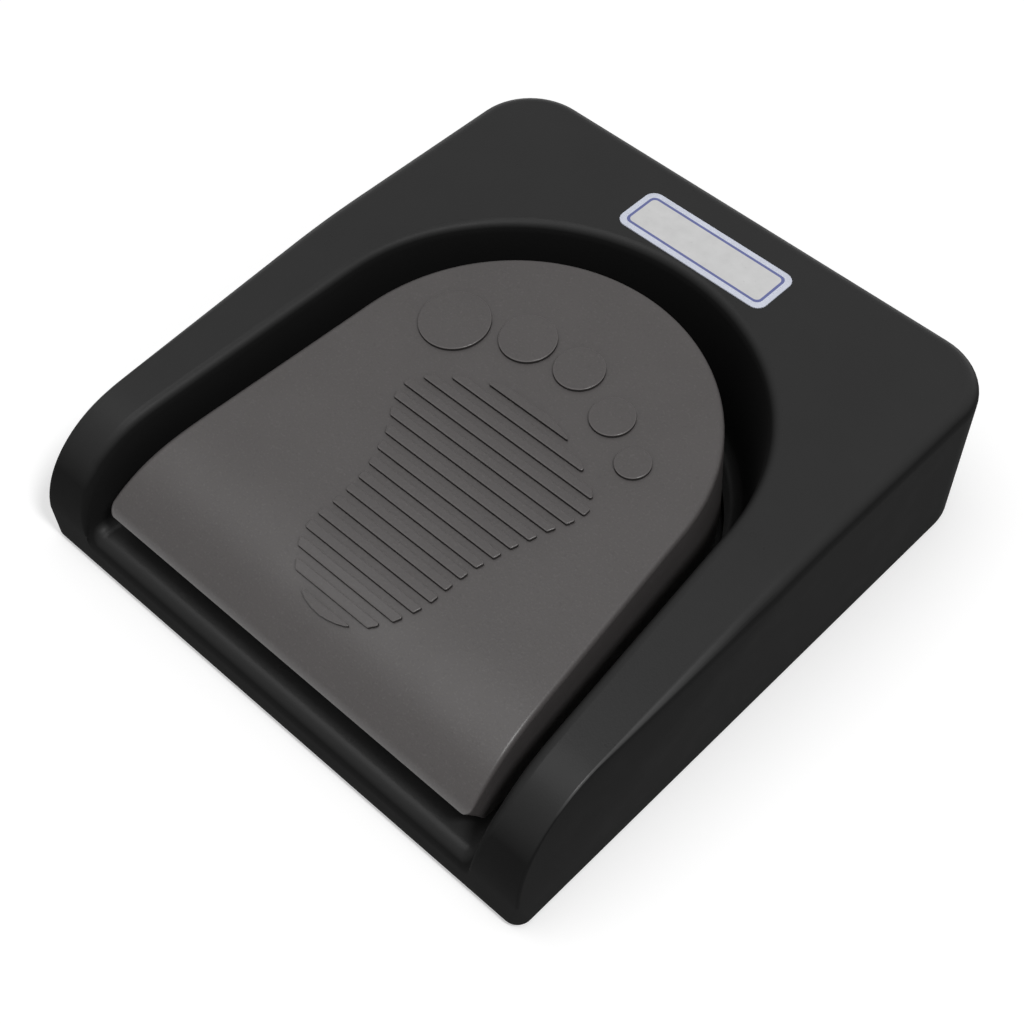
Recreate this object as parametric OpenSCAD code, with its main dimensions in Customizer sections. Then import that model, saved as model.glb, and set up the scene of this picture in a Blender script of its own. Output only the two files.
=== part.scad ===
// Sewing machine foot pedal: a moulded housing with a D-shaped well, and a tread hinged at the heel.
// Millimetres, +Z up. The origin is under the middle of the housing, on the surface it stands on.
// X runs across, +Y runs from the heel end to the toe end.
// Inside the modules y is measured from the front face, and placed() moves the result to the origin.

/* [Housing] */
// Width across the outer walls
body_w = 106; // [102:1:116]
// Length from the front face to the rear face
body_l = 115.5; // [112:0.5:126]
// Height of the rear deck above the surface
deck_h = 30; // [29:0.5:34]
// Gap between the surface and the housing's lower rim
foot_gap = 1.2; // [0.8:0.1:2]
// Thickness of the moulded walls
wall = 2.2; // [1.8:0.1:2.6]
// Plan radius of the two rear corners
rear_corner_r = 12; // [9:0.1:16]
// Plan radius of the two front corners
front_corner_r = 2.5; // [2:0.1:4]
// Rounding along the deck's outer edges
edge_r = 3; // [2.6:0.1:4]
// Draft of the outer walls
side_draft = 0.4; // [0.2:0.1:1]
// Where the deck starts to slope down to the front, from the front face
slope_start = 63; // [56:0.5:70]
// Slope of the two side rails
rail_slope = 5.95; // [4:0.05:8]
// Radius of the rails' rounded front ends
rail_front_r = 18.2; // [16:0.1:20]
// How far the rails' upper edges lean in towards the front
rail_lean = 1.4; // [0.8:0.1:1.8]
// Rounding along the rails' outer edges at the front
rail_edge_r = 0.5; // [0.3:0.1:1.5]

/* [Well] */
// Radius of the well's rear arc at deck level
well_r = 40; // [39.5:0.1:41]
// Centre of the well's rear arc, from the front face
well_y = 55.5; // [54:0.5:58]
// Angle by which each side of the well widens towards the front
well_taper = 4.8; // [4:0.1:5.5]
// Draft of the well's wall
well_draft = 4.3; // [3:0.1:5]
// Rounding of the well's upper edge
rim_r = 2; // [1:0.1:2.4]
// Rounding between the well's wall and its floor
cove_r = 2.5; // [1.5:0.1:3]
// Height of the well's floor above the surface
floor_h = 7.6; // [7:0.1:8]
// Rounding of the sill's front edge
sill_r = 3; // [1.5:0.1:3.4]

/* [Tread] */
// Radius of the tread's toe at its upper edge
toe_r = 34.6; // [33:0.1:35.4]
// Centre of the toe's arc, from the front face
toe_y = 52.8; // [51:0.1:54]
// Angle by which each side of the tread widens towards the heel
tread_taper = 6; // [4.5:0.1:6.4]
// Draft of the tread's sides
tread_draft = 4.2; // [3:0.1:5]
// Front edge of the tread, from the housing's front face
tread_front = 3.1; // [1.5:0.1:3.5]
// Height of the tread's upper plane where it would meet the front face
tread_h = 20.6; // [20:0.1:21.5]
// Tilt of the upper plane
tread_tilt = 6.16; // [5.5:0.02:7]
// Radius of the curve that rounds the tread down over the heel
nose_r = 38; // [34:0.5:42]
// Where the plane passes into that curve, from the front face
nose_start = 23; // [21:0.5:25]
// Rounding of the tread's upper edge
tread_edge_r = 1.2; // [0.8:0.1:2]
// Plan radius of the tread's two heel corners
heel_corner_r = 1.4; // [1.2:0.1:4]
// Thickness of the tread's shell
tread_wall = 2.2; // [1.8:0.1:2.6]
// How far the heel's front face leans back under its upper edge
heel_tuck = 0.8; // [0.2:0.1:1.2]
// Height of the skirt's lower edge at the heel
skirt_heel_h = 9.8; // [9:0.1:10.2]
// Height of the skirt's lower edge at the toe
skirt_toe_h = 11.7; // [11.2:0.1:12.5]

/* [Footprint relief] */
// Distance from one rib to the next
rib_pitch = 2.96; // [2.8:0.02:3.1]
// Width of a rib
rib_w = 1.5; // [1:0.1:2]
// Height of the ribs and the toe pads above the tread
relief_h = 0.6; // [0.3:0.05:0.8]

/* [Hinge and travel] */
// Hinge axis, from the housing's front face
hinge_y = 14; // [13.6:0.1:14.4]
// Height of the hinge axis above the surface
hinge_h = 12.4; // [12.2:0.1:12.8]
// Diameter of the hinge rod
pin_d = 3; // [2.6:0.1:3.2]
// Travel of the tread, in degrees
travel = 6; // [5:0.1:6.4]
// Thickness of the clamps' steel strap
strap_t = 1.2; // [1:0.1:1.4]

/* [Springs] */
// Distance of each return spring from the middle
spring_x = 20; // [18:0.5:22]
// Distance of the return springs from the front face
spring_y = 70; // [69:0.5:72]
// Mean radius of a return spring
spring_r = 4.2; // [3.9:0.1:4.4]
// Wire diameter of a return spring
spring_wire = 0.9; // [0.7:0.1:1.1]
// Turns of a return spring
spring_turns = 7; // [5:1:8]

/* [Base and fasteners] */
// Thickness of the base plate
plate_t = 2.2; // [2:0.1:2.4]
// Radius of a rubber foot
foot_r = 5; // [4:0.5:6]
// Thickness of the circuit board
board_t = 1.6; // [1.2:0.1:1.8]
// Diameter of the case screws
case_screw_d = 3; // [2.5:0.1:3.2]
// Length of the sticker
label_w = 31.4; // [26:0.2:34]
// Width of the sticker
label_l = 10.2; // [8:0.2:11]
// Radius of the cord inlet
cord_r = 2.75; // [2.5:0.05:3.2]

/* [Hidden] */

// Facets of the rounded forms, and of the hidden inner form.
soft = 32;
plain = 16;
fine = 64;

// Colours.
black = [0.10, 0.10, 0.10];
grey = [0.33, 0.31, 0.30];
steel = [0.72, 0.73, 0.74];
zinc = [0.62, 0.63, 0.62];
rubber = [0.06, 0.06, 0.06];

// Clearances: a part in its recess, a screw in its hole, a shaft that turns, and rest gaps.
fit = 0.25;
snug = 0.05;
running = 0.06;
rest_gap = 0.3;
// Overlap with which one feature grows out of another, and how far a cutter passes a face.
embed = 0.6;
cut = 1;
min_edge = 0.4;

// Rail profile: the sloping line, then the arc of the front end.
rail_arc_z = deck_h - (slope_start - rail_front_r) * tan(rail_slope) - rail_front_r / cos(rail_slope);
rail_top_z = rail_arc_z + rail_front_r * cos(rail_slope);
function deck_z(y) =
    y >= slope_start ? deck_h : deck_h - (slope_start - y) * tan(rail_slope);

module placed() {
    translate([0, -body_l / 2, 0])
        children();
}

module both_sides() {
    children();
    mirror([1, 0, 0])
        children();
}

// ---- form of the housing ----

// The housing's outer form, drawn in by inset, and reaching down to z = low. Its walls lean in by
// their draft. Towards the front the rails lean in further, and their rounded edges run into creases.
module housing_form(inset, low, facets) {
    half_w = body_w / 2 - inset;
    edge = edge_r - inset;
    corner = rear_corner_r - inset;
    front_corner = max(front_corner_r - inset, min_edge);
    crease = max(rail_edge_r - inset, min_edge);
    lean = (deck_h - edge_r - foot_gap) * tan(side_draft);
    arc_r = rail_front_r - inset - crease;
    top = deck_h - edge_r;
    hull() {
        both_sides() {
            translate([half_w - corner, body_l - rear_corner_r, top])
                rotate_extrude($fn = facets)
                    translate([corner - edge - lean, 0])
                        circle(edge, $fn = facets);
            translate([half_w - corner, body_l - rear_corner_r, low])
                cylinder(r = corner, h = 1, $fn = facets);
            translate([half_w - edge - lean, slope_start, top])
                sphere(edge, $fn = facets);
            for (a = [rail_slope : (90 - rail_slope) / (facets / 2) : 90 + 0.01])
                let (z = rail_arc_z + arc_r * cos(a))
                    translate([half_w - crease - rail_lean * (z - foot_gap) / (rail_top_z - foot_gap),
                            rail_front_r - arc_r * sin(a), z])
                        sphere(crease, $fn = plain / 2);
            translate([half_w - front_corner, inset + front_corner, low])
                cylinder(r = front_corner, h = 1, $fn = facets);
        }
    }
}

// Stations of the right half of the well's outline, front to rear, each as
// [surface y, surface z, slope of the surface there, plan angle of the wall].
rail_angles = [90, 86, 82, 78, 74, 69, 64, 57, 50, 42, 34, 26, 17, 9];
rail_end_y = rail_front_r * (1 - sin(rail_slope));
well_stations = concat(
    [for (a = rail_angles)
        [rail_front_r * (1 - sin(a)), rail_arc_z + rail_front_r * cos(a), a, well_taper]],
    [for (t = [0, 0.5, 1])
        let (y = rail_end_y + t * (well_y - rail_end_y)) [y, deck_z(y), rail_slope, well_taper]],
    [for (a = [well_taper : (90 - well_taper) / 16 : 90 + 0.01]) [well_y, deck_h, 0, a]]
);
arc_first = len(rail_angles) + 3;

// The well's floor at a station, rounded down at the sill; and the roundings above and below the wall,
// which shrink with the wall's height towards the front.
function well_floor(i) =
    let (y = min(well_stations[i][0], sill_r))
    floor_h - sill_r + sqrt(pow(sill_r, 2) - pow(sill_r - y, 2));
function wall_height(i) = well_stations[i][1] - well_floor(i);
function rim_at(i) = min(rim_r, wall_height(i) / 6);
function cove_at(i) = min(cove_r, wall_height(i) / 3);

// One point of the well's wall: station s, pushed out by off, and depth below the surface.
function well_point(i, off, depth) =
    let (s = well_stations[i], r = well_r + off)
    i < arc_first
        ? let (y = s[0] + depth * sin(s[2]), z = s[1] - depth * cos(s[2]),
               rz = r - (deck_h - z) * tan(well_draft))
          [(rz + (well_y - y) * sin(well_taper)) / cos(well_taper), y, z]
        : let (y0 = well_y + r * sin(s[3]), z = deck_z(y0) - depth,
               rz = r - (deck_h - z) * tan(well_draft))
          [rz * cos(s[3]), well_y + rz * sin(s[3]), z];
// The same at a height z of its own.
function well_point_at(i, off, z) =
    let (s = well_stations[i], rz = well_r + off - (deck_h - z) * tan(well_draft))
    i < arc_first
        ? [(rz + (well_y - s[0]) * sin(well_taper)) / cos(well_taper), s[0], z]
        : [rz * cos(s[3]), well_y + rz * sin(s[3]), z];

// A solid lofted through rings that mirror over X = 0: each ring lists its right half, front to rear.
// Strips across X close the bottom, the top and the front.
module mirrored_loft(rings) {
    n = len(rings[0]);
    m = len(rings);
    span = 2 * n - 1;
    points = [for (r = rings) each concat(r, [for (i = [0 : n - 2]) [-r[i][0], r[i][1], r[i][2]]])];
    function right(j, i) = span * j + i;
    function left(j, i) = i == n - 1 ? right(j, i) : span * j + n + i;
    function side(at, flip) = [for (j = [0 : m - 2], i = [0 : n - 2])
        let (a = [at(j, i), at(j, i + 1), at(j + 1, i + 1), at(j + 1, i)])
        each halves(flip ? a : [a[3], a[2], a[1], a[0]])];
    function halves(q) = [[q[0], q[1], q[2]], [q[0], q[2], q[3]]];
    function strips(j, flip) = [for (i = [0 : n - 2])
        let (a = i == n - 2
            ? [[left(j, i), right(j, i), right(j, i + 1)]]
            : halves([left(j, i), right(j, i), right(j, i + 1), left(j, i + 1)]))
        each flip ? [for (t = a) [t[2], t[1], t[0]]] : a];
    front = [for (j = [0 : m - 2]) each halves([left(j, 0), left(j + 1, 0), right(j + 1, 0), right(j, 0)])];
    polyhedron(points = points, faces = concat(
        side(function (j, i) right(j, i), false),
        side(function (j, i) left(j, i), true),
        strips(0, false),
        strips(m - 1, true),
        front
    ));
}

// The well as a cutter, with its roundings. It passes the front face.
module well_cutter() {
    stations = [0 : len(well_stations) - 1];
    fillet = [0, 22, 44, 60, 75];
    function lead(ring) = concat([[ring[0][0], -2 * cut, ring[0][2]]], ring);
    function flare(r, a) = r * (1 - cos(a)) + (cut + r * (1 - sin(a))) * tan(a);
    lower = [for (a = [0, 30, 60, 90])
        lead([for (i = stations)
            let (c = cove_at(i))
            well_point_at(i, c * (sin(a) - 1), well_floor(i) + c * (1 - cos(a)))])];
    upper = [for (a = fillet)
        lead([for (i = stations)
            let (r = rim_at(i))
            well_point(i, r * (1 - cos(a)), r * (1 - sin(a)))])];
    cover = lead([for (i = stations) well_point(i, flare(rim_at(i), fillet[4]), -cut)]);
    mirrored_loft(concat(lower, upper, [cover]));
}

// The well's form grown by the thickness of its wall and its floor.
module grown_well() {
    stations = [0 : len(well_stations) - 1];
    function lead(ring) = concat([[ring[0][0], -2 * cut, ring[0][2]]], ring);
    mirrored_loft([
        lead([for (i = stations) well_point_at(i, wall, floor_h - floor_t)]),
        lead([for (i = stations) well_point(i, wall, -cut)])
    ]);
}

// ---- form of the tread ----

tread_tan = tan(tread_tilt);
nose_cy = nose_start + nose_r * sin(tread_tilt);
nose_cz = tread_h + nose_start * tread_tan - nose_r * cos(tread_tilt);
function tread_z(y) =
    y >= nose_start ? tread_h + y * tread_tan : nose_cz + sqrt(pow(nose_r, 2) - pow(nose_cy - y, 2));
function skirt_z(y) =
    skirt_heel_h + (skirt_toe_h - skirt_heel_h) * (y - tread_front) / (toe_y + toe_r - tread_front);

// Half width of the tread's upper outline at y.
function tread_half(y, off = 0) = (toe_r + off + (toe_y - y) * sin(tread_taper)) / cos(tread_taper);

// Stations of the right half, heel to toe, drawn in by inset: [x, y, plan angle of the outward normal].
function tread_stations(inset) =
    let (c = max(heel_corner_r - inset, 2 * min_edge), r = toe_r - inset, front = tread_front + inset,
         cx = tread_half(front + c, -inset) - c / cos(tread_taper))
    concat(
        [for (a = [-90 : 18 : 0]) [cx + c * cos(a), front + c + c * sin(a), a]],
        [for (y = [7 : 2 : nose_start]) [tread_half(y, -inset), y, tread_taper]],
        [[tread_half(toe_y / 2 + nose_start / 2, -inset), toe_y / 2 + nose_start / 2, tread_taper]],
        [for (a = [tread_taper : (90 - tread_taper) / 16 : 90 + 0.01])
            [r * cos(a), toe_y + r * sin(a), a]]
    );

// The tread's outer form, drawn in by inset and lowered by drop, its skirt lengthened by below.
module tread_form(inset = 0, drop = 0, edge = tread_edge_r, below = 0) {
    s = tread_stations(inset);
    function at(p, off) = [p[0] + off * cos(p[2]), p[1] + off * sin(p[2])];
    bottom = [for (p = s)
        let (z = skirt_z(p[1]) - below,
             flare = (tread_z(p[1]) - z) * tan(tread_draft), lean = min(1, (p[2] + 90) / 90),
             q = at(p, flare * lean - heel_tuck * (1 - lean)))
        [q[0], q[1], z]];
    upper = [for (a = [0, 30, 60, 90])
        [for (p = s)
            let (q = at(p, -edge * (1 - cos(a))))
            [q[0], q[1], tread_z(q[1]) - drop - edge * (1 - sin(a))]]];
    mirrored_loft(concat([bottom], upper));
}

// ---- places that several parts share ----

floor_t = wall;
plate_top = foot_gap + plate_t;
pin_r = pin_d / 2;

// The skirt flares by its draft, and the opening in the well's floor leaves it this much room.
opening_gap = 0.8;
skirt_flare = (tread_z(toe_y + toe_r) - skirt_toe_h) * tan(tread_draft);
opening_off = skirt_flare + opening_gap;

// Hinge: the rod lies in two saddles, under two strap clamps, beside the tread's two ears.
ear_x = 22;
ear_w = 5;
ear_r = pin_r + 2.3;
clamp_x = ear_x + ear_w + 1;
clamp_w = 6;
pin_len = 2 * (clamp_x + clamp_w + 1);
flange_top = hinge_h - 1.6;
flange_reach = pin_r + 5.6;
clamp_screw_y = pin_r + 3.5;
block_h = flange_top - strap_t;
block_reach = flange_reach + 0.2;
opening_front = hinge_y + block_reach + 0.8;
clamp_screw_r = 1;
clamp_screw_len = 3.8;
case_screw_r = case_screw_d / 2;

// Rests and stops.
heel_pad_x = 12;
heel_pad = [8, 3, 1.4];
heel_pad_y = hinge_y - 6.9;
stop_x = 12;
stop_y = 78;
stop_r = 4;
stop_post_h = 4;
stop_pad_t = 1.4;
stop_stem_r = 1.5;
stop_stem_h = 3.2;
stop_top = plate_top + stop_post_h + stop_pad_t;

// Return springs: each stands on the base around a spigot and enters a cup under the tread.
cup_r = spring_r + spring_wire / 2 + 1.6;
cup_wall = 1.2;
spring_top = 22.4;
cup_depth = 3;
spigot_r = spring_r - spring_wire / 2 - 0.4;

// Board and sensor.
board_x = -10;
board_y = hinge_y + 32;
board_size = [34, 30];
board_z = plate_top + 3.2;
board_top = board_z + board_t;
stand_places = [[-24, board_y - 12], [-24, board_y + 12], [3.5, board_y + 12]];
stand_r = 2.6;
board_screw_r = 1;
sensor_y = hinge_y + 24;
sensor_z = board_top + 5.6;
sensor_r = 5;
bushing_r = 3.5;
shaft_r = 2;
bracket_x = 4;
bracket_t = 0.6;
bushing_len = 4.6;
lever_x = bracket_x + bracket_t + bushing_len + 1;
lever_w = 5.6;
lever_hub_r = 4.2;
lever_reach = [17, 5.5];
lever_tip_r = 1.6;
lever_top = sensor_z + lever_reach[1] + lever_tip_r;
lever_spring_y = 11;
lever_spring_r = 2.2;
lever_wire = 0.5;
lever_turns = 6;
lever_drop = 3.4;
lever_seat_z = sensor_z + lever_spring_y * lever_reach[1] / lever_reach[0] - lever_drop;

// Screws that close the case, and the feet.
boss_r = 3.1;
boss_hole_h = 11;
case_screws_at = [
    [body_w / 2 - wall - boss_r - 0.5, 30],
    [body_w / 2 - rear_corner_r - 11, body_l - wall - boss_r - 4.2]
];
case_screw_len = 9;
case_head = [case_screw_r + 1.3, 1.4];
foot_inset = 9;
feet_at = [
    [body_w / 2 - foot_inset - foot_r, foot_inset + 2],
    [body_w / 2 - foot_inset - foot_r, body_l - foot_inset - foot_r - 2]
];
foot_sink = 1;
foot_lip = 0.7;

// Cord inlet in the rear wall.
inlet_z = 14;
inlet_r = cord_r + 1.9;
grommet_r = inlet_r + 1.7;
grommet_flange = 1;

// ---- housing ----

// A plan outline with the same tapered sides as the skirt: the opening in the well's floor.
module floor_opening() {
    r = toe_r + opening_off;
    tangent_y = toe_y + r * sin(tread_taper);
    front_x = tread_half(opening_front, opening_off);
    translate([0, 0, floor_h - 2 * floor_t])
        linear_extrude(3 * floor_t) {
            translate([0, toe_y])
                circle(r, $fn = fine);
            polygon([
                [-front_x, opening_front], [front_x, opening_front],
                [r * cos(tread_taper), tangent_y], [-r * cos(tread_taper), tangent_y]
            ]);
        }
}

module hinge_block() {
    difference() {
        union() {
            translate([clamp_x, hinge_y - block_reach, floor_h - embed])
                cube([clamp_w, 2 * block_reach, block_h - floor_h + embed]);
            translate([clamp_x, hinge_y - pin_r, floor_h])
                cube([clamp_w, pin_d, hinge_h - floor_h]);
        }
        translate([clamp_x - cut, hinge_y, hinge_h])
            rotate([0, 90, 0])
                cylinder(r = pin_r + snug, h = clamp_w + 2 * cut, $fn = fine);
    }
}

module at_clamp_screws() {
    both_sides()
        for (side = [-1, 1])
            translate([clamp_x + clamp_w / 2, hinge_y + side * clamp_screw_y, 0])
                children();
}

module at_case_screws() {
    both_sides()
        for (p = case_screws_at)
            translate([p[0], p[1], 0])
                children();
}

// Outer form, less the room inside, less the well: one moulded shell.
module housing_shell() {
    resize([body_w, body_l, deck_h - foot_gap])
        difference() {
            housing_form(0, foot_gap, soft);
            difference() {
                housing_form(wall, foot_gap - cut, plain);
                grown_well();
            }
            well_cutter();
        }
}

module housing() {
    color(black)
        placed()
            difference() {
                union() {
                    housing_shell();
                    both_sides()
                        hinge_block();
                    both_sides()
                        for (p = case_screws_at)
                            translate([p[0], p[1], plate_top])
                                cylinder(r = boss_r, h = deck_z(p[1]) - wall + embed - plate_top,
                                    $fn = fine);
                }
                floor_opening();
                at_clamp_screws()
                    translate([0, 0, flange_top - clamp_screw_len - strap_t])
                        cylinder(r = clamp_screw_r + snug, h = clamp_screw_len + cut, $fn = fine);
                at_case_screws()
                    translate([0, 0, plate_top - cut])
                        cylinder(r = case_screw_r + snug, h = boss_hole_h + cut, $fn = fine);
                translate([0, body_l - wall - cut, inlet_z])
                    rotate([-90, 0, 0])
                        cylinder(r = inlet_r + snug, h = wall + 2 * cut, $fn = fine);
                translate([0, body_l - grommet_flange, inlet_z])
                    rotate([-90, 0, 0])
                        cylinder(r = grommet_r + snug, h = cut + grommet_flange, $fn = fine);
            }
}

// A printed sticker, flat on the rear deck.
label_y = body_l - 13.2;
label_x = -0.3;
label_corner_r = 2;
label_t = 0.2;

module label() {
    color([0.82, 0.84, 0.88])
        placed()
            translate([label_x, label_y, deck_h])
                rounded_plate([label_w, label_l], [label_corner_r, label_corner_r], label_t);
}

// A flat plate centred on the origin, with its own corner radius at the front and at the rear.
module rounded_plate(size, corners, t) {
    half = size / 2;
    front = corners[0];
    rear = corners[1];
    translate([-half[0] + front, -half[1], 0])
        cube([size[0] - 2 * front, size[1] / 2, t]);
    translate([-half[0] + rear, 0, 0])
        cube([size[0] - 2 * rear, half[1], t]);
    translate([-half[0], -half[1] + front, 0])
        cube([size[0], size[1] - front - rear, t]);
    for (side = [-1, 1]) {
        translate([side * (half[0] - front), -half[1] + front, 0])
            cylinder(r = front, h = t, $fn = fine);
        translate([side * (half[0] - rear), half[1] - rear, 0])
            cylinder(r = rear, h = t, $fn = fine);
    }
}

// ---- tread ----

// Underside of the shell at y.
function roof_z(y) = tread_z(y) - tread_wall - 0.4 * tread_wall * max(0, (nose_start - y) / nose_start);
function tread_slope(y) = y >= nose_start ? tread_tilt : asin((nose_cy - y) / nose_r);

// Outline of the sole, heel to ball: [y, left, right].
sole = [
    [10.5, -1, 6], [12.5, -5.2, 10.5], [15.5, -8.2, 12.5], [18.5, -9.7, 13.8],
    [24.5, -10.2, 14.5], [30.5, -10.3, 15.4], [36.5, -12, 16.8], [42.5, -15.2, 18.8],
    [48, -18, 21], [51, -16.8, 20.6], [54, -13.5, 17], [57, -8, 11]
];
sole_left = [for (p = sole) [p[0], p[1]]];
sole_right = [for (p = sole) [p[0], p[2]]];
first_rib_y = 9.8;
rib_count = 17;
// Toe pads: [x, y, radius].
toe_pads = [[-20.5, 62.6, 6.1], [-8.7, 67.6, 4.9], [1.8, 68.4, 4.3], [12.1, 64.7, 3.8], [20.4, 60.1, 3]];

// Moves its children onto the tread's upper surface at y, tilted with it.
module on_tread(x, y) {
    translate([x, y, tread_z(y)])
        rotate([tread_slope(y), 0, 0])
            children();
}

module sole_rib(y) {
    back = y + rib_w;
    on_tread(0, y)
        translate([0, 0, -embed])
            linear_extrude(relief_h + embed)
                polygon([
                    [lookup(y, sole_left), 0], [lookup(y, sole_right), 0],
                    [lookup(back, sole_right), rib_w], [lookup(back, sole_left), rib_w]
                ]);
}

// Extrudes a profile drawn in the Y-Z plane along +X, from x.
module across(x, width) {
    translate([x, 0, 0])
        rotate([90, 0, 90])
            linear_extrude(width)
                children();
}

// A web under the roof, from z = low, between two y values.
module hanging_web(x, width, y0, y1, low) {
    across(x, width)
        polygon([[y0, low], [y1, low], [y1, roof_z(y1) + embed], [y0, roof_z(y0) + embed]]);
}

// A low rib under the roof, of even depth.
module stiffening_rib(x, width, y0, y1, depth) {
    across(x, width)
        polygon([
            [y0, roof_z(y0) - depth], [y1, roof_z(y1) - depth],
            [y1, roof_z(y1) + embed], [y0, roof_z(y0) + embed]
        ]);
}

module hinge_ear() {
    hanging_web(ear_x, ear_w, hinge_y - ear_r, hinge_y + ear_r, hinge_h);
    translate([ear_x, hinge_y, hinge_h])
        rotate([0, 90, 0])
            cylinder(r = ear_r, h = ear_w, $fn = fine);
}

// Where the underside of a stop must be for a rest_gap over a pad at full travel.
stop_boss_z = stop_top + (stop_y - hinge_y) * sin(travel) + rest_gap;

// Thin ribs under the roof: x, width, depth.
roof_rib = [27, 1.4, 2.5];
heel_web_t = 1.8;

module tread() {
    color(grey)
        placed()
            difference() {
                union() {
                    difference() {
                        tread_form();
                        tread_form(tread_wall, tread_wall, min_edge, cut);
                    }
                    for (i = [0 : rib_count - 1])
                        sole_rib(first_rib_y + i * rib_pitch);
                    for (p = toe_pads)
                        on_tread(p[0], p[1])
                            translate([0, 0, -embed])
                                cylinder(r = p[2], h = relief_h + embed, $fn = fine);
                    both_sides() {
                        hinge_ear();
                        hanging_web(heel_pad_x - heel_pad[0] / 2, heel_pad[0],
                            heel_pad_y - heel_web_t / 2, heel_pad_y + heel_web_t / 2,
                            floor_h + heel_pad[2] + rest_gap);
                        translate([stop_x, stop_y, stop_boss_z])
                            cylinder(r = stop_r - 1, h = roof_z(stop_y) - stop_boss_z + embed, $fn = fine);
                        translate([spring_x, spring_y, spring_top - cup_depth])
                            cylinder(r = cup_r + cup_wall, h = roof_z(spring_y) - spring_top + cup_depth
                                + embed, $fn = fine);
                        stiffening_rib(roof_rib[0], roof_rib[1], hinge_y + 10, hinge_y + 44, roof_rib[2]);
                    }
                    hanging_web(lever_x - 0.5, lever_w + 1, sensor_y + lever_reach[0] - 4,
                        sensor_y + lever_reach[0] + 5, lever_top + rest_gap);
                }
                both_sides() {
                    translate([spring_x, spring_y, spring_top - cup_depth - cut])
                        cylinder(r = cup_r, h = cup_depth + cut, $fn = fine);
                    translate([ear_x - cut, hinge_y, hinge_h])
                        rotate([0, 90, 0])
                            cylinder(r = pin_r + running, h = ear_w + 2 * cut, $fn = fine);
                }
            }
}

// ---- hinge ----

module hinge_pin() {
    color(steel)
        placed()
            translate([-pin_len / 2, hinge_y, hinge_h])
                rotate([0, 90, 0])
                    cylinder(r = pin_r, h = pin_len, $fn = fine);
}

module hinge_clamp() {
    inner = pin_r + snug;
    outer = inner + strap_t;
    difference() {
        across(clamp_x, clamp_w)
            translate([hinge_y, 0])
                difference() {
                    union() {
                        translate([0, hinge_h])
                            circle(outer, $fn = fine);
                        translate([-outer, flange_top - strap_t])
                            square([2 * outer, hinge_h - flange_top + strap_t]);
                        translate([-flange_reach, flange_top - strap_t])
                            square([2 * flange_reach, strap_t]);
                    }
                    translate([0, hinge_h])
                        circle(inner, $fn = fine);
                    translate([-inner, flange_top - strap_t - cut])
                        square([2 * inner, hinge_h - flange_top + strap_t + cut]);
                }
        for (side = [-1, 1])
            translate([clamp_x + clamp_w / 2, hinge_y + side * clamp_screw_y, flange_top - strap_t - cut])
                cylinder(r = clamp_screw_r + 0.2, h = strap_t + 2 * cut, $fn = fine);
    }
}

module hinge_clamps() {
    color(zinc)
        placed()
            both_sides()
                hinge_clamp();
}

// A slotted pan-head screw, pointing down, with the underside of its head at z = 0.
pan_head = [1.9, 1.3];
pan_slot_w = 0.5;

module pan_screw(r, length) {
    head_r = pan_head[0];
    head_h = pan_head[1];
    difference() {
        union() {
            translate([0, 0, -length])
                cylinder(r = r, h = length + head_h / 2, $fn = fine);
            cylinder(r = head_r, h = head_h * 0.6, $fn = fine);
            translate([0, 0, head_h * 0.6])
                cylinder(r1 = head_r, r2 = head_r * 0.7, h = head_h * 0.4, $fn = fine);
        }
        translate([-head_r - cut, -pan_slot_w / 2, head_h * 0.55])
            cube([2 * (head_r + cut), pan_slot_w, head_h]);
    }
}

module clamp_screws() {
    color(zinc)
        placed()
            at_clamp_screws()
                translate([0, 0, flange_top])
                    pan_screw(clamp_screw_r, clamp_screw_len + strap_t - 0.4);
}

// ---- base ----

// Ribs along the plate: place, then size above it.
plate_rib_at = [32.3, 6];
plate_rib = [1.4, body_l - 26, 1.2];
spigot_h = 2.4;
lever_spigot_h = 2;
board_screw_floor = 0.4;

module base_plate() {
    plan = [body_w - 2 * (wall + fit), body_l - 2 * (wall + fit)];
    corners = [max(front_corner_r - wall, 2 * min_edge), rear_corner_r - wall - fit];
    color(black)
        placed()
            difference() {
                union() {
                    translate([0, body_l / 2, foot_gap])
                        rounded_plate(plan, corners, plate_t);
                    both_sides() {
                        translate([plate_rib_at[0], plate_rib_at[1], plate_top - embed])
                            cube([plate_rib[0], plate_rib[1], plate_rib[2] + embed]);
                        translate([spring_x, spring_y, plate_top - embed])
                            cylinder(r = spigot_r, h = spigot_h + embed, $fn = fine);
                        translate([stop_x, stop_y, plate_top - embed])
                            cylinder(r = stop_r, h = stop_post_h + embed, $fn = fine);
                    }
                    for (p = stand_places)
                        translate([p[0], p[1], plate_top - embed])
                            cylinder(r = stand_r, h = board_z - plate_top + embed, $fn = fine);
                    translate([lever_x + lever_w / 2, sensor_y + lever_spring_y, plate_top - embed])
                        cylinder(r = lever_spring_r - lever_wire, h = lever_spigot_h + embed, $fn = fine);
                }
                both_sides() {
                    for (p = feet_at)
                        translate([p[0], p[1], foot_gap - cut])
                            cylinder(r = foot_r + 2 * snug, h = foot_sink + cut, $fn = fine);
                    translate([stop_x, stop_y, plate_top + stop_post_h - stop_stem_h + 0.2])
                        cylinder(r = stop_stem_r + snug, h = stop_post_h, $fn = fine);
                }
                at_case_screws() {
                    translate([0, 0, foot_gap - cut])
                        cylinder(r = case_screw_r + 0.2, h = plate_t + 2 * cut, $fn = fine);
                    translate([0, 0, foot_gap])
                        case_screw_head(2 * snug);
                }
                for (p = stand_places)
                    translate([p[0], p[1], plate_top + board_screw_floor])
                        cylinder(r = board_screw_r + snug, h = board_z - plate_top, $fn = fine);
            }
}

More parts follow.
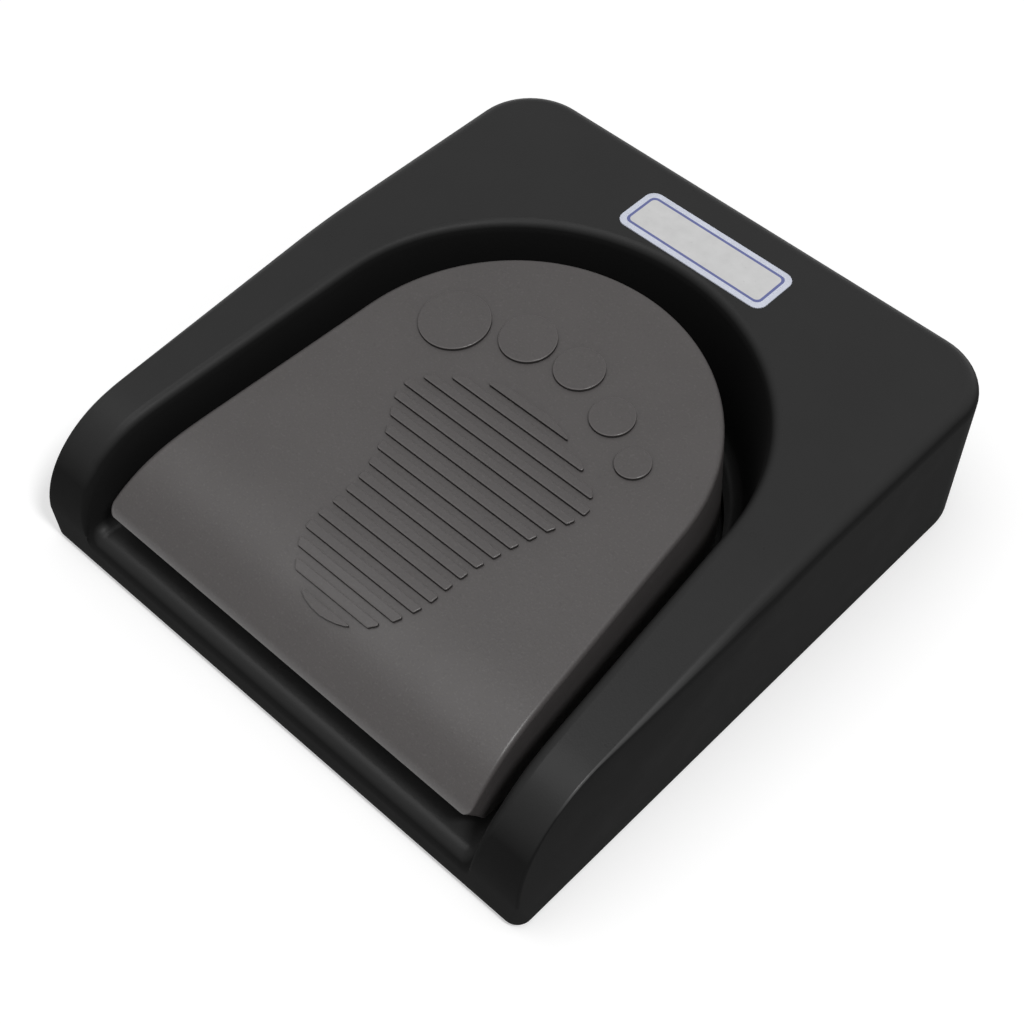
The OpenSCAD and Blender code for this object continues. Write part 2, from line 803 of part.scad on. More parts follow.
// The cone of a countersunk head, its flat face down at z = 0, grown by gap.
module case_screw_head(gap) {
    translate([0, 0, -gap])
        cylinder(r1 = case_head[0] + gap, r2 = case_screw_r + gap, h = case_head[1] + gap, $fn = fine);
}

cross_slot = [3.2, 0.7, 0.8];

module case_screws() {
    color(zinc)
        placed()
            at_case_screws()
                translate([0, 0, foot_gap])
                    difference() {
                        union() {
                            case_screw_head(0);
                            cylinder(r = case_screw_r, h = case_screw_len, $fn = fine);
                        }
                        for (turn = [0, 90])
                            rotate([0, 0, turn])
                                translate([-cross_slot[0] / 2, -cross_slot[1] / 2, -cut])
                                    cube([cross_slot[0], cross_slot[1], cut + cross_slot[2]]);
                    }
}

module rubber_feet() {
    color(rubber)
        placed()
            both_sides()
                for (p = feet_at)
                    translate([p[0], p[1], 0]) {
                        cylinder(r1 = foot_r - foot_lip, r2 = foot_r, h = foot_lip, $fn = fine);
                        translate([0, 0, foot_lip])
                            cylinder(r = foot_r, h = foot_gap + foot_sink - foot_lip, $fn = fine);
                    }
}

module heel_rest_pads() {
    color(rubber)
        placed()
            both_sides()
                translate([heel_pad_x - heel_pad[0] / 2, heel_pad_y - heel_pad[1] / 2, floor_h])
                    cube(heel_pad);
}

module toe_stop_pads() {
    color(rubber)
        placed()
            both_sides()
                translate([stop_x, stop_y, plate_top + stop_post_h]) {
                    cylinder(r = stop_r - 0.4, h = stop_pad_t, $fn = fine);
                    translate([0, 0, embed - stop_stem_h])
                        cylinder(r = stop_stem_r, h = stop_stem_h, $fn = fine);
                }
}

// ---- springs ----

// A coil of round wire, as one tube of six sides with eight rings to a turn. It stands on z = 0.
module coil(r, wire, height, turns) {
    sides = 6;
    per_turn = 8;
    steps = turns * per_turn;
    rise = (height - wire) / steps;
    echo(coil_gap = (height - wire) / turns - wire);
    points = [for (i = [0 : steps], k = [0 : sides - 1])
        let (a = 360 * i / per_turn, t = 360 * k / sides, q = r + wire / 2 * cos(t))
        [q * cos(a), q * sin(a), wire / 2 + i * rise + wire / 2 * sin(t)]];
    function id(i, k) = i * sides + k % sides;
    walls = [for (i = [0 : steps - 1], k = [0 : sides - 1])
        each [[id(i, k), id(i + 1, k), id(i + 1, k + 1)], [id(i, k), id(i + 1, k + 1), id(i, k + 1)]]];
    ends = [for (k = [1 : sides - 2])
        each [[id(0, 0), id(0, k), id(0, k + 1)], [id(steps, 0), id(steps, k + 1), id(steps, k)]]];
    polyhedron(points = points, faces = concat(walls, ends));
}

module return_spring() {
    translate([spring_x, spring_y, plate_top])
        coil(spring_r, spring_wire, spring_top - plate_top - rest_gap / 2, spring_turns);
}

module return_spring_left() {
    color(steel)
        placed()
            mirror([1, 0, 0])
                return_spring();
}

module return_spring_right() {
    color(steel)
        placed()
            return_spring();
}

// ---- electronics ----

bracket_foot = 7;
sensor_len = 6.8;
sensor_bore = 4;
sensor_nut_r = 5.4;
sensor_nut_t = 2;
shaft_tail = 3.6;

module circuit_board() {
    color([0.10, 0.32, 0.18])
        placed()
            difference() {
                translate([board_x, board_y, board_z])
                    rounded_plate(board_size, [1.5, 1.5], board_t);
                for (p = stand_places)
                    translate([p[0], p[1], board_z - cut])
                        cylinder(r = board_screw_r + 0.2, h = board_t + 2 * cut, $fn = fine);
            }
}

module board_screws() {
    color(zinc)
        placed()
            for (p = stand_places)
                translate([p[0], p[1], board_top])
                    pan_screw(board_screw_r, board_t + 2.4);
}

module sensor_bracket() {
    half = sensor_r + 0.4;
    color(zinc)
        placed()
            difference() {
                translate([bracket_x, sensor_y - half, board_top])
                    union() {
                        cube([bracket_t, 2 * half, sensor_z - board_top + half]);
                        translate([-bracket_foot, 0, 0])
                            cube([bracket_foot + bracket_t / 2, 2 * half, bracket_t - 0.1]);
                    }
                translate([bracket_x - cut, sensor_y, sensor_z])
                    rotate([0, 90, 0])
                        cylinder(r = bushing_r + snug, h = bracket_t + 2 * cut, $fn = fine);
            }
}

module sensor_body() {
    color([0.16, 0.17, 0.20])
        placed()
            translate([0, sensor_y, sensor_z])
                rotate([0, 90, 0])
                    difference() {
                        union() {
                            translate([0, 0, bracket_x - sensor_len])
                                cylinder(r = sensor_r, h = sensor_len, $fn = fine);
                            translate([0, 0, bracket_x - embed])
                                cylinder(r = bushing_r, h = bracket_t + bushing_len + embed, $fn = fine);
                        }
                        translate([0, 0, bracket_x - sensor_bore])
                            cylinder(r = shaft_r + running, h = sensor_bore + bracket_t + bushing_len + cut,
                                $fn = fine);
                    }
}

module sensor_nut() {
    color(steel)
        placed()
            translate([bracket_x + bracket_t, sensor_y, sensor_z])
                rotate([0, 90, 0])
                    difference() {
                        cylinder(r = sensor_nut_r, h = sensor_nut_t, $fn = 6);
                        translate([0, 0, -cut])
                            cylinder(r = bushing_r + snug, h = sensor_nut_t + 2 * cut, $fn = fine);
                    }
}

module sensor_shaft() {
    color(steel)
        placed()
            translate([bracket_x - shaft_tail, sensor_y, sensor_z])
                rotate([0, 90, 0])
                    cylinder(r = shaft_r, h = lever_x + lever_w - bracket_x + shaft_tail, $fn = fine);
}

module sensor_lever() {
    slope = atan2(lever_reach[1], lever_reach[0]);
    arm_t = 1.8 * lever_tip_r;
    color([0.85, 0.84, 0.80])
        placed()
            difference() {
                union() {
                    across(lever_x, lever_w)
                        translate([sensor_y, sensor_z]) {
                            circle(lever_hub_r, $fn = fine);
                            rotate(slope)
                                translate([0, -arm_t / 2])
                                    square([norm(lever_reach), arm_t]);
                            translate(lever_reach)
                                circle(lever_tip_r, $fn = fine);
                        }
                    translate([lever_x + lever_w / 2, sensor_y + lever_spring_y, lever_seat_z])
                        cylinder(r = lever_spring_r + lever_wire, h = lever_drop - 0.5, $fn = fine);
                }
                translate([lever_x - cut, sensor_y, sensor_z])
                    rotate([0, 90, 0])
                        cylinder(r = shaft_r + snug, h = lever_w + 2 * cut, $fn = fine);
            }
}

module lever_spring() {
    color(steel)
        placed()
            translate([lever_x + lever_w / 2, sensor_y + lever_spring_y, plate_top])
                coil(lever_spring_r, lever_wire, lever_seat_z - plate_top - rest_gap / 2, lever_turns);
}

terminal_size = [10, 8.5, 8];
terminal_at = [board_x - 9, board_y + 5];
terminal_ways = [2.5, 7.5];
terminal_screw_y = 3.4;
terminal_well = [1.7, 2];
terminal_entry = [1.4, 3];

module wire_terminal() {
    color([0.15, 0.40, 0.25])
        placed()
            translate([terminal_at[0], terminal_at[1], board_top])
                difference() {
                    cube(terminal_size);
                    for (x = terminal_ways) {
                        translate([x, terminal_size[1] - terminal_entry[1], 2.6])
                            rotate([-90, 0, 0])
                                cylinder(r = terminal_entry[0], h = terminal_entry[1] + cut, $fn = fine);
                        translate([x, terminal_screw_y, terminal_size[2] - terminal_well[1]])
                            cylinder(r = terminal_well[0], h = terminal_well[1] + cut, $fn = fine);
                    }
                }
}

module terminal_screws() {
    screw = [terminal_well[0] - 0.1, terminal_well[1] - 0.6];
    color(steel)
        placed()
            translate([terminal_at[0], terminal_at[1], board_top + terminal_size[2] - terminal_well[1]])
                for (x = terminal_ways)
                    translate([x, terminal_screw_y, 0])
                        difference() {
                            cylinder(r = screw[0], h = screw[1], $fn = fine);
                            translate([-screw[0] - cut, -pan_slot_w / 2, screw[1] - pan_slot_w])
                                cube([2 * (screw[0] + cut), pan_slot_w, 1]);
                        }
}

capacitor_r = 3.2;
capacitor_h = 8;
capacitor_rim = 0.4;

module capacitor() {
    color([0.10, 0.13, 0.25])
        placed()
            translate([board_x - 6, board_y - 10, board_top]) {
                cylinder(r = capacitor_r, h = capacitor_h - capacitor_rim, $fn = fine);
                translate([0, 0, capacitor_h - capacitor_rim])
                    cylinder(r1 = capacitor_r, r2 = capacitor_r - 0.3, h = capacitor_rim, $fn = fine);
            }
}

// The transistor's moulded body, its metal tab and its three legs.
transistor = [9.6, 4.2, 6];
tab_t = 1.2;
tab_h = 9;
leg_w = 1;
leg_pitch = 2.5;

module power_transistor() {
    color([0.12, 0.12, 0.12])
        placed()
            translate([board_x - transistor[0] - 2.4, board_y - 3.5, board_top])
                difference() {
                    union() {
                        translate([0, 0, leg_w])
                            cube(transistor);
                        translate([0, transistor[1] - tab_t, leg_w])
                            cube([transistor[0], tab_t, tab_h]);
                        for (k = [-1 : 1])
                            translate([transistor[0] / 2 + k * leg_pitch - leg_w / 2, 1.6, 0])
                                cube([leg_w, 0.6, leg_w + embed]);
                    }
                    translate([transistor[0] / 2, 0, leg_w + tab_h - 1.8])
                        rotate([-90, 0, 0])
                            cylinder(r = tab_t, h = transistor[1] + cut, $fn = fine);
                }
}

// ---- cord inlet ----

grommet_lip = 1.4;
grommet_show = 0.1;

// The wall leans, so the inner lip stands off by as much as the wall leans behind it.
module cord_grommet() {
    stand_off = wall + (inlet_z + grommet_r - foot_gap) * tan(side_draft);
    color(rubber)
        placed()
            translate([0, body_l, inlet_z])
                rotate([90, 0, 0])
                    difference() {
                        union() {
                            translate([0, 0, grommet_show])
                                cylinder(r = grommet_r, h = grommet_flange - grommet_show, $fn = fine);
                            cylinder(r = inlet_r, h = stand_off + grommet_lip, $fn = fine);
                            translate([0, 0, stand_off + snug])
                                cylinder(r = grommet_r, h = grommet_lip - snug, $fn = fine);
                        }
                        translate([0, 0, -cut])
                            cylinder(r = cord_r, h = stand_off + grommet_lip + 2 * cut, $fn = fine);
                    }
}

housing();
tread();
label();
hinge_pin();
hinge_clamps();
clamp_screws();
base_plate();
case_screws();
rubber_feet();
heel_rest_pads();
toe_stop_pads();
return_spring_left();
return_spring_right();
circuit_board();
board_screws();
sensor_bracket();
sensor_body();
sensor_nut();
sensor_shaft();
sensor_lever();
lever_spring();
wire_terminal();
terminal_screws();
capacitor();
power_transistor();
cord_grommet();
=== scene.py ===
import math

import bmesh
import bpy
from mathutils import Matrix, Vector


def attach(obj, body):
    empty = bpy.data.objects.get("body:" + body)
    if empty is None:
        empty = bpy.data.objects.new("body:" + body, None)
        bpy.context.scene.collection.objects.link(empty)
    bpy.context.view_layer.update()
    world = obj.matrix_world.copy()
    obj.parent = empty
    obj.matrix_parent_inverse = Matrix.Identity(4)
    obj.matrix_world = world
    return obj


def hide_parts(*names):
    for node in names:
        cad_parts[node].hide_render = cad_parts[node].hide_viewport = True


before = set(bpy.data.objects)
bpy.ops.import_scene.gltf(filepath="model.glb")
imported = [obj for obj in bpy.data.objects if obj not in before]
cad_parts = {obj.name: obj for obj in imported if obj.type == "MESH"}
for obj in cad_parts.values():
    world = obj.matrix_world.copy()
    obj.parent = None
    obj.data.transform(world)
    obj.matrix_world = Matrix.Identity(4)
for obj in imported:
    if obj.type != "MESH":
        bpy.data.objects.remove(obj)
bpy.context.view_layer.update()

# ---- sizes in millimetres, with y measured from the housing's front face ----

MM = 0.001
BODY_W, BODY_L, DECK_H, FOOT_GAP = 106.0, 115.5, 30.0, 1.2
WALL, REAR_CORNER_R, FRONT_CORNER_R, EDGE_R, SIDE_DRAFT = 2.2, 12.0, 2.5, 3.0, math.radians(0.4)
SLOPE_START, SLOPE_EASE, RAIL_SLOPE = 63.0, 8.0, math.radians(5.95)
RAIL_FRONT_R, RAIL_EASE = 17.9, 8.0
RAIL_LEAN, RAIL_EDGE_R, MIN_EDGE = 1.4, 0.5, 0.4
WELL_R, WELL_Y = 40.0, 55.5
WELL_TAPER, WELL_DRAFT = math.radians(4.8), math.radians(4.3)
RIM_R, COVE_R, FLOOR_H, SILL_R = 2.0, 2.5, 7.6, 3.0
TOE_R, TOE_Y = 34.6, 52.8
TREAD_TAPER, TREAD_DRAFT, TREAD_TILT = math.radians(6.0), math.radians(4.2), math.radians(6.16)
TREAD_FRONT, TREAD_H, NOSE_START, NOSE_DROP, NOSE_POWER = 3.1, 20.6, 25.0, 6.15, 3.2
TREAD_EDGE_R, HEEL_CORNER_R, TREAD_WALL = 1.0, 1.4, 2.2
HEEL_TUCK, HEEL_TUCK_INSIDE, HEEL_LIFT, HEEL_REACH = 2.5, 1.3, 1.0, 10.0
SKIRT_HEEL_H, SKIRT_TOE_H = 9.8, 11.7
RIB_PITCH, RIB_W, FIRST_RIB_Y, RIB_COUNT, RELIEF_H, RELIEF_EDGE_R = 2.924, 1.55, 9.9, 17, 0.6, 0.2
HINGE_Y, HINGE_H, PIN_R, EAR_X, EAR_W, CLAMP_W, STRAP_T = 14.0, 12.4, 1.5, 22.0, 5.0, 6.0, 1.2
CLAMP_X, EAR_R, EAR_PLAY = EAR_X + EAR_W + 1, PIN_R + 2.3, 0.06
BLOCK_REACH, BLOCK_TOP = PIN_R + 5.8, HINGE_H - 1.6 - STRAP_T
CLAMP_SCREW_STEP, CLAMP_SCREW_R, CLAMP_SCREW_DEPTH = PIN_R + 3.5, 1.0, 3.8
OPENING_GAP = 0.8
REST_X, REST_W, REST_Y, REST_T, REST_H = 8.0, 8.0, 7.8, 1.8, 1.7
STIFFENER_X, STIFFENER_T, STIFFENER_H, STIFFENER_START, STIFFENER_END = 27.0, 1.4, 2.5, 10.0, 44.0
LEVER_PAD_X, LEVER_PAD_Y, LEVER_PAD_Z = (9.7, 16.3), (51.0, 60.0), 21.2
SPRING_X, SPRING_Y, CUP_R, CUP_WALL, CUP_LOW, CUP_TOP = 20.0, 70.0, 6.25, 1.2, 19.4, 22.4
TRAVEL, STOP_X, STOP_Y, STOP_R, STOP_PAD_TOP, STOP_GAP = math.radians(6), 12.0, 78.0, 3.0, 8.8, 0.3
STOP_Z = STOP_PAD_TOP + STOP_GAP + (STOP_Y - HINGE_Y) * math.sin(TRAVEL)
INLET_Z, INLET_R, GROMMET_R, GROMMET_FLANGE, SNUG = 14.0, 4.65, 6.35, 1.0, 0.05
BOSS_R, CASE_SCREW_R, CASE_SCREW_DEPTH = 3.1, 1.5, 11.0
CASE_SCREWS = [(BODY_W / 2 - 5.8, 30.0), (BODY_W / 2 - 23, BODY_L - 9.5)]
LABEL_X, LABEL_Y, LABEL_W, LABEL_L, LABEL_T, LABEL_R = -0.3, 102.3, 31.4, 10.2, 0.2, 2.0
LINE_IN, LINE_W = 1.35, 0.5
CUT, EMBED = 1.0, 0.6

# The sole's outline anticlockwise from the heel, as (x, y), and the toe pads as (x, y, radius).
SOLE = [
    (2.5, 10.1), (5.6, 10.6), (7.8, 11.5), (10.0, 12.9), (12.3, 15.7), (13.6, 18.6),
    (14.4, 21.4), (14.7, 25.8), (15.3, 30.3), (16.1, 33.1), (16.8, 36.1), (17.9, 39.0),
    (18.9, 42.0), (20.1, 44.5), (21.2, 47.6), (20.8, 50.6), (17.0, 53.5), (11.2, 56.4),
    (6.5, 57.9), (2.0, 58.7), (-3.0, 58.6), (-8.0, 56.8), (-13.5, 53.8), (-16.6, 50.8),
    (-17.9, 48.0), (-16.9, 44.9), (-14.8, 42.0), (-13.0, 39.1), (-11.8, 36.1), (-10.7, 33.0),
    (-10.1, 30.3), (-9.9, 25.8), (-10.1, 21.5), (-9.7, 18.6), (-8.4, 15.8), (-5.9, 13.0),
    (-4.0, 11.8), (-1.0, 10.5),
]
TOE_PADS = [(-20.5, 62.6, 6.1), (-8.7, 67.6, 4.9), (1.8, 68.4, 4.3), (12.1, 64.7, 3.8), (20.4, 60.1, 3.0)]
RIB_CORNER_R, CLEAR_OF_ENDS = 0.35, 0.8


def deck_z(y):
    """The top's height: level at the rear, sloping at the front, with a gentle bend between."""
    if y >= SLOPE_START + SLOPE_EASE:
        return DECK_H
    if y <= SLOPE_START - SLOPE_EASE:
        return DECK_H - (SLOPE_START - y) * math.tan(RAIL_SLOPE)
    return DECK_H - (SLOPE_START + SLOPE_EASE - y) ** 2 * math.tan(RAIL_SLOPE) / (4 * SLOPE_EASE)


def deck_angle(y):
    return math.atan((deck_z(y + 0.01) - deck_z(y - 0.01)) / 0.02)


def tread_z(y):
    ahead = max(0.0, NOSE_START - y) / (NOSE_START - TREAD_FRONT)
    return TREAD_H + y * math.tan(TREAD_TILT) - NOSE_DROP * ahead**NOSE_POWER


def tread_angle(y):
    return math.atan((tread_z(y + 0.01) - tread_z(y - 0.01)) / 0.02)


def steps(first, last, count):
    """count + 1 values from first to last."""
    return [first + (last - first) * i / count for i in range(count + 1)]


def rail_front(count):
    """The rails' curved front, from the slope down to the front face, as (y, z, angle).

    Its curvature grows over the first RAIL_EASE, and stays at RAIL_FRONT_R from there.
    """
    eased = RAIL_EASE / (2 * RAIL_FRONT_R)
    angles = steps(RAIL_SLOPE, math.pi / 2, 40 * count)
    curve, y, z = [(0.0, 0.0, angles[0])], 0.0, 0.0
    for a, b in zip(angles, angles[1:]):
        turned = (a + b) / 2 - RAIL_SLOPE
        radius = RAIL_FRONT_R if turned > eased else math.sqrt(RAIL_EASE * RAIL_FRONT_R / (2 * turned))
        y, z = y - radius * (b - a) * math.cos((a + b) / 2), z - radius * (b - a) * math.sin((a + b) / 2)
        curve.append((y, z, b))
    return [(v - y, w + deck_z(-y), a) for v, w, a in curve[::40]]


# ---- meshes ----


def in_frame(p):
    return Vector((p[0] * MM, (p[1] - BODY_L / 2) * MM, p[2] * MM))


def from_frame(co):
    return (co.x / MM, co.y / MM + BODY_L / 2, co.z / MM)


def new_object(name, mesh):
    obj = bpy.data.objects.new(name, mesh)
    bpy.context.scene.collection.objects.link(obj)
    return obj


def mesh_object(name, *solids):
    """One object from solids given as (points, faces). Points that coincide become one."""
    points, faces = [], []
    for some_points, some_faces in solids:
        faces += [tuple(i + len(points) for i in face) for face in some_faces]
        points += some_points
    mesh = bpy.data.meshes.new(name)
    mesh.from_pydata([in_frame(p) for p in points], [], faces)
    bm = bmesh.new()
    bm.from_mesh(mesh)
    bmesh.ops.remove_doubles(bm, verts=bm.verts, dist=0.00001 * MM)
    bmesh.ops.recalc_face_normals(bm, faces=bm.faces)
    bm.to_mesh(mesh)
    bm.free()
    return new_object(name, mesh)


def mirrored_loft(rings):
    """A solid lofted through rings that mirror over X = 0. Each ring lists its right half, front to rear."""
    n, m = len(rings[0]), len(rings)
    span = 2 * n - 1
    points = []
    for ring in rings:
        points += ring + [(-x, y, z) for x, y, z in ring[: n - 1]]

    def right(j, i):
        return span * j + i

    def left(j, i):
        return right(j, i) if i == n - 1 else span * j + n + i

    faces = []
    for j in range(m - 1):
        for i in range(n - 1):
            faces.append((right(j, i), right(j, i + 1), right(j + 1, i + 1), right(j + 1, i)))
            faces.append((left(j, i), left(j + 1, i), left(j + 1, i + 1), left(j, i + 1)))
        faces.append((left(j, 0), right(j, 0), right(j + 1, 0), left(j + 1, 0)))
    for j in (0, m - 1):
        for i in range(n - 1):
            quad = (left(j, i), right(j, i), right(j, i + 1), left(j, i + 1))
            faces.append(quad if i < n - 2 else quad[:3])
    return points, faces


def stacked(rings, capped=True):
    """Closed rings of equal length joined one over the other, with flat ends."""
    n = len(rings[0])
    points = [p for ring in rings for p in ring]
    faces = []
    for j in range(len(rings) - 1):
        for i in range(n):
            k = (i + 1) % n
            faces.append((n * j + i, n * j + k, n * (j + 1) + k, n * (j + 1) + i))
    if capped:
        faces += [tuple(range(n)), tuple(range(n * (len(rings) - 1), n * len(rings)))]
    return points, faces


def drawn_in(outline, by):
    """A convex anticlockwise outline with each side moved inwards."""
    n = len(outline)
    moved = []
    for i in range(n):
        (x0, y0), (x1, y1), (x2, y2) = outline[i - 1], outline[i], outline[(i + 1) % n]
        first, second = Vector((y1 - y0, x0 - x1)).normalized(), Vector((y2 - y1, x1 - x2)).normalized()
        inwards = -(first + second) / (1 + first.dot(second))
        moved.append((x1 + by * inwards.x, y1 + by * inwards.y))
    return moved


def convex(name, points):
    bm = bmesh.new()
    for p in points:
        bm.verts.new(in_frame(p))
    found = bmesh.ops.convex_hull(bm, input=bm.verts)
    bmesh.ops.delete(bm, geom=list(set(found["geom_interior"] + found["geom_unused"])), context="VERTS")
    bmesh.ops.dissolve_limit(bm, angle_limit=math.radians(0.05), verts=bm.verts, edges=bm.edges)
    mesh = bpy.data.meshes.new(name)
    bm.to_mesh(mesh)
    bm.free()
    return new_object(name, mesh)


def upright(outline, low, high):
    """An outline of (x, y) pairs extruded along z."""
    return stacked([[(x, y, z) for x, y in outline] for z in (low, high)])


def across(outline, low, high):
    """An outline of (y, z) pairs extruded along x."""
    return stacked([[(x, y, z) for y, z in outline] for x in (low, high)])


def circle(cx, cy, r, count=64, first=0.0, last=360.0):
    whole = last - first >= 360
    angles = [math.radians(a) for a in steps(first, last, count)]
    return [(cx + r * math.cos(a), cy + r * math.sin(a)) for a in (angles[:-1] if whole else angles)]


def combine(target, others, operation):
    """Adds or cuts the other solids, which go away."""
    for other in others:
        modifier = target.modifiers.new("solid", "BOOLEAN")
        modifier.operation = operation
        modifier.solver = "EXACT"
        modifier.object = other
    bpy.context.view_layer.update()
    shaped = bpy.data.meshes.new_from_object(target.evaluated_get(bpy.context.evaluated_depsgraph_get()))
    target.modifiers.clear()
    target.data = shaped
    for other in others:
        bpy.data.objects.remove(other)
    return target


def smooth(obj, angle=30.0):
    """Smooth shading, broken at edges sharper than angle, with each flat face keeping its own direction."""
    bm = bmesh.new()
    bm.from_mesh(obj.data)
    for face in bm.faces:
        face.smooth = True
    for edge in bm.edges:
        edge.smooth = len(edge.link_faces) == 2 and edge.calc_face_angle(0) < math.radians(angle)
    bm.to_mesh(obj.data)
    bm.free()
    modifier = obj.modifiers.new("normals", "WEIGHTED_NORMAL")
    modifier.keep_sharp = True
    modifier.weight = 100
    return obj


# ---- housing ----


def housing_form(name, inset, low, fine):
    """The housing's outer form, drawn in by inset, as the hull of its rounded corners and edges."""
    half = BODY_W / 2 - inset
    edge, corner = EDGE_R - inset, REAR_CORNER_R - inset
    front_corner, crease = max(FRONT_CORNER_R - inset, MIN_EDGE), max(RAIL_EDGE_R - inset, MIN_EDGE)
    lean = (DECK_H - EDGE_R - FOOT_GAP) * math.tan(SIDE_DRAFT)
    quarter = [math.radians(a) for a in steps(0, 90, fine)]
    front = rail_front(3 * fine)
    points = []
    for a in quarter:
        for t in quarter:
            r = corner - edge - lean + edge * math.sin(t)
            points.append((
                half - corner + r * math.cos(a), BODY_L - REAR_CORNER_R + r * math.sin(a),
                DECK_H - EDGE_R + edge * math.cos(t),
            ))
        points.append((
            half - corner + corner * math.cos(a), BODY_L - REAR_CORNER_R + corner * math.sin(a), low,
        ))
        points.append((
            half - front_corner + front_corner * math.cos(a), inset + front_corner * (1 - math.sin(a)), low,
        ))
        for y in steps(SLOPE_START - SLOPE_EASE, SLOPE_START + SLOPE_EASE, 8):
            s = deck_angle(y)
            points.append((
                half - lean - edge + edge * math.sin(a), y + (EDGE_R - edge * math.cos(a)) * math.sin(s),
                deck_z(y) - (EDGE_R - edge * math.cos(a)) * math.cos(s),
            ))
        for y, z, s in front:
            r = inset + crease * (1 - math.cos(a))
            leaned = RAIL_LEAN * (z - FOOT_GAP) / (front[0][1] - FOOT_GAP)
            points.append((
                half - leaned - crease + crease * math.sin(a), y + r * math.sin(s), z - r * math.cos(s),
            ))
    return convex(name, points + [(-x, y, z) for x, y, z in points])


def well_stations(fine):
    """Stations of the well's right half, front to rear: surface y and z, slope there, plan angle."""
    found = [(y, z, a, WELL_TAPER) for y, z, a in reversed(rail_front(4 * fine))]
    for y in steps(found[-1][0], WELL_Y, 8)[1:]:
        found.append((y, deck_z(y), deck_angle(y), WELL_TAPER))
    for a in steps(WELL_TAPER, math.pi / 2, 4 * fine):
        found.append((None, DECK_H, 0.0, a))
    return found


def well_floor(station):
    """The well's floor, rounded down at the sill."""
    y = SILL_R if station[0] is None else min(station[0], SILL_R)
    return FLOOR_H - SILL_R + math.sqrt(SILL_R**2 - (SILL_R - y) ** 2)


def well_point(station, off, depth):
    """A point of the well's wall: pushed out by off, and depth below the surface."""
    y, z, slope, angle = station
    r = WELL_R + off
    if y is not None:
        y, z = y + depth * math.sin(slope), z - depth * math.cos(slope)
        rz = r - (DECK_H - z) * math.tan(WELL_DRAFT)
        return ((rz + (WELL_Y - y) * math.sin(WELL_TAPER)) / math.cos(WELL_TAPER), y, z)
    z = deck_z(WELL_Y + r * math.sin(angle)) - depth
    rz = r - (DECK_H - z) * math.tan(WELL_DRAFT)
    return (rz * math.cos(angle), WELL_Y + rz * math.sin(angle), z)


def well_point_at(station, off, z):
    """The same, at a height z."""
    y, _, _, angle = station
    rz = WELL_R + off - (DECK_H - z) * math.tan(WELL_DRAFT)
    if y is not None:
        return ((rz + (WELL_Y - y) * math.sin(WELL_TAPER)) / math.cos(WELL_TAPER), y, z)
    return (rz * math.cos(angle), WELL_Y + rz * math.sin(angle), z)


def well_cutter(name, rings):
    """Rings of the well as a solid that passes the front face."""
    return mesh_object(name, mirrored_loft([[(r[0][0], -2 * CUT, r[0][2])] + r for r in rings]))


def rounded_well(fine):
    """The well, with roundings above and below its wall that shrink towards the front."""
    stations = well_stations(fine)
    heights = [s[1] - well_floor(s) for s in stations]
    rims = [min(RIM_R, h / 6) for h in heights]
    coves = [min(COVE_R, h / 3) for h in heights]
    rings = []
    for a in steps(0, math.pi / 2, fine):
        rings.append([well_point_at(s, c * (math.sin(a) - 1), well_floor(s) + c * (1 - math.cos(a)))
                      for s, c in zip(stations, coves)])
    last, rise = math.radians(80), 0.4
    for a in steps(0, last, fine):
        out, down = 1 - math.cos(a), 1 - math.sin(a)
        rings.append([well_point(s, r * out, r * down) for s, r in zip(stations, rims)])
    out, down = 1 - math.cos(last), 1 - math.sin(last)
    rings.append([well_point(s, r * out + (rise + r * down) * math.tan(last), -rise)
                  for s, r in zip(stations, rims)])
    return well_cutter("well", rings)


def grown_well(fine):
    """The well with the thickness of its own wall and floor around it."""
    stations = well_stations(fine)
    low = [well_point_at(s, WALL, FLOOR_H - WALL) for s in stations]
    return well_cutter("grown_well", [low, [well_point(s, WALL, -CUT) for s in stations]])


def tread_half(y, off=0.0):
    """Half the tread's width at its straight sides, grown by off."""
    return (TOE_R + off + (TOE_Y - y) * math.sin(TREAD_TAPER)) / math.cos(TREAD_TAPER)


def floor_opening():
    """The opening in the well's floor, for the tread's skirt and the works under it."""
    off = (tread_z(TOE_Y + TOE_R) - SKIRT_TOE_H) * math.tan(TREAD_DRAFT) + OPENING_GAP
    front = HINGE_Y + BLOCK_REACH + OPENING_GAP
    taper = math.degrees(TREAD_TAPER)
    outline = circle(0, TOE_Y, TOE_R + off, 96, taper, 180 - taper)
    outline += [(-tread_half(front, off), front), (tread_half(front, off), front)]
    return mesh_object("floor_cut", upright(outline, FLOOR_H - 2 * WALL, FLOOR_H + WALL))


def box(name, low, high):
    (x0, y0, z0), (x1, y1, z1) = low, high
    return mesh_object(name, upright([(x0, y0), (x1, y0), (x1, y1), (x0, y1)], z0, z1))


def rod(name, axis, centre, r, low, high, count=48):
    """A round rod along an axis, between low and high on it; centre holds the other two coordinates."""
    outline = circle(*centre, r, count)
    if axis == "x":
        return mesh_object(name, across(outline, low, high))
    if axis == "y":
        return mesh_object(name, stacked([[(x, y, z) for x, z in outline] for y in (low, high)]))
    return mesh_object(name, upright(outline, low, high))


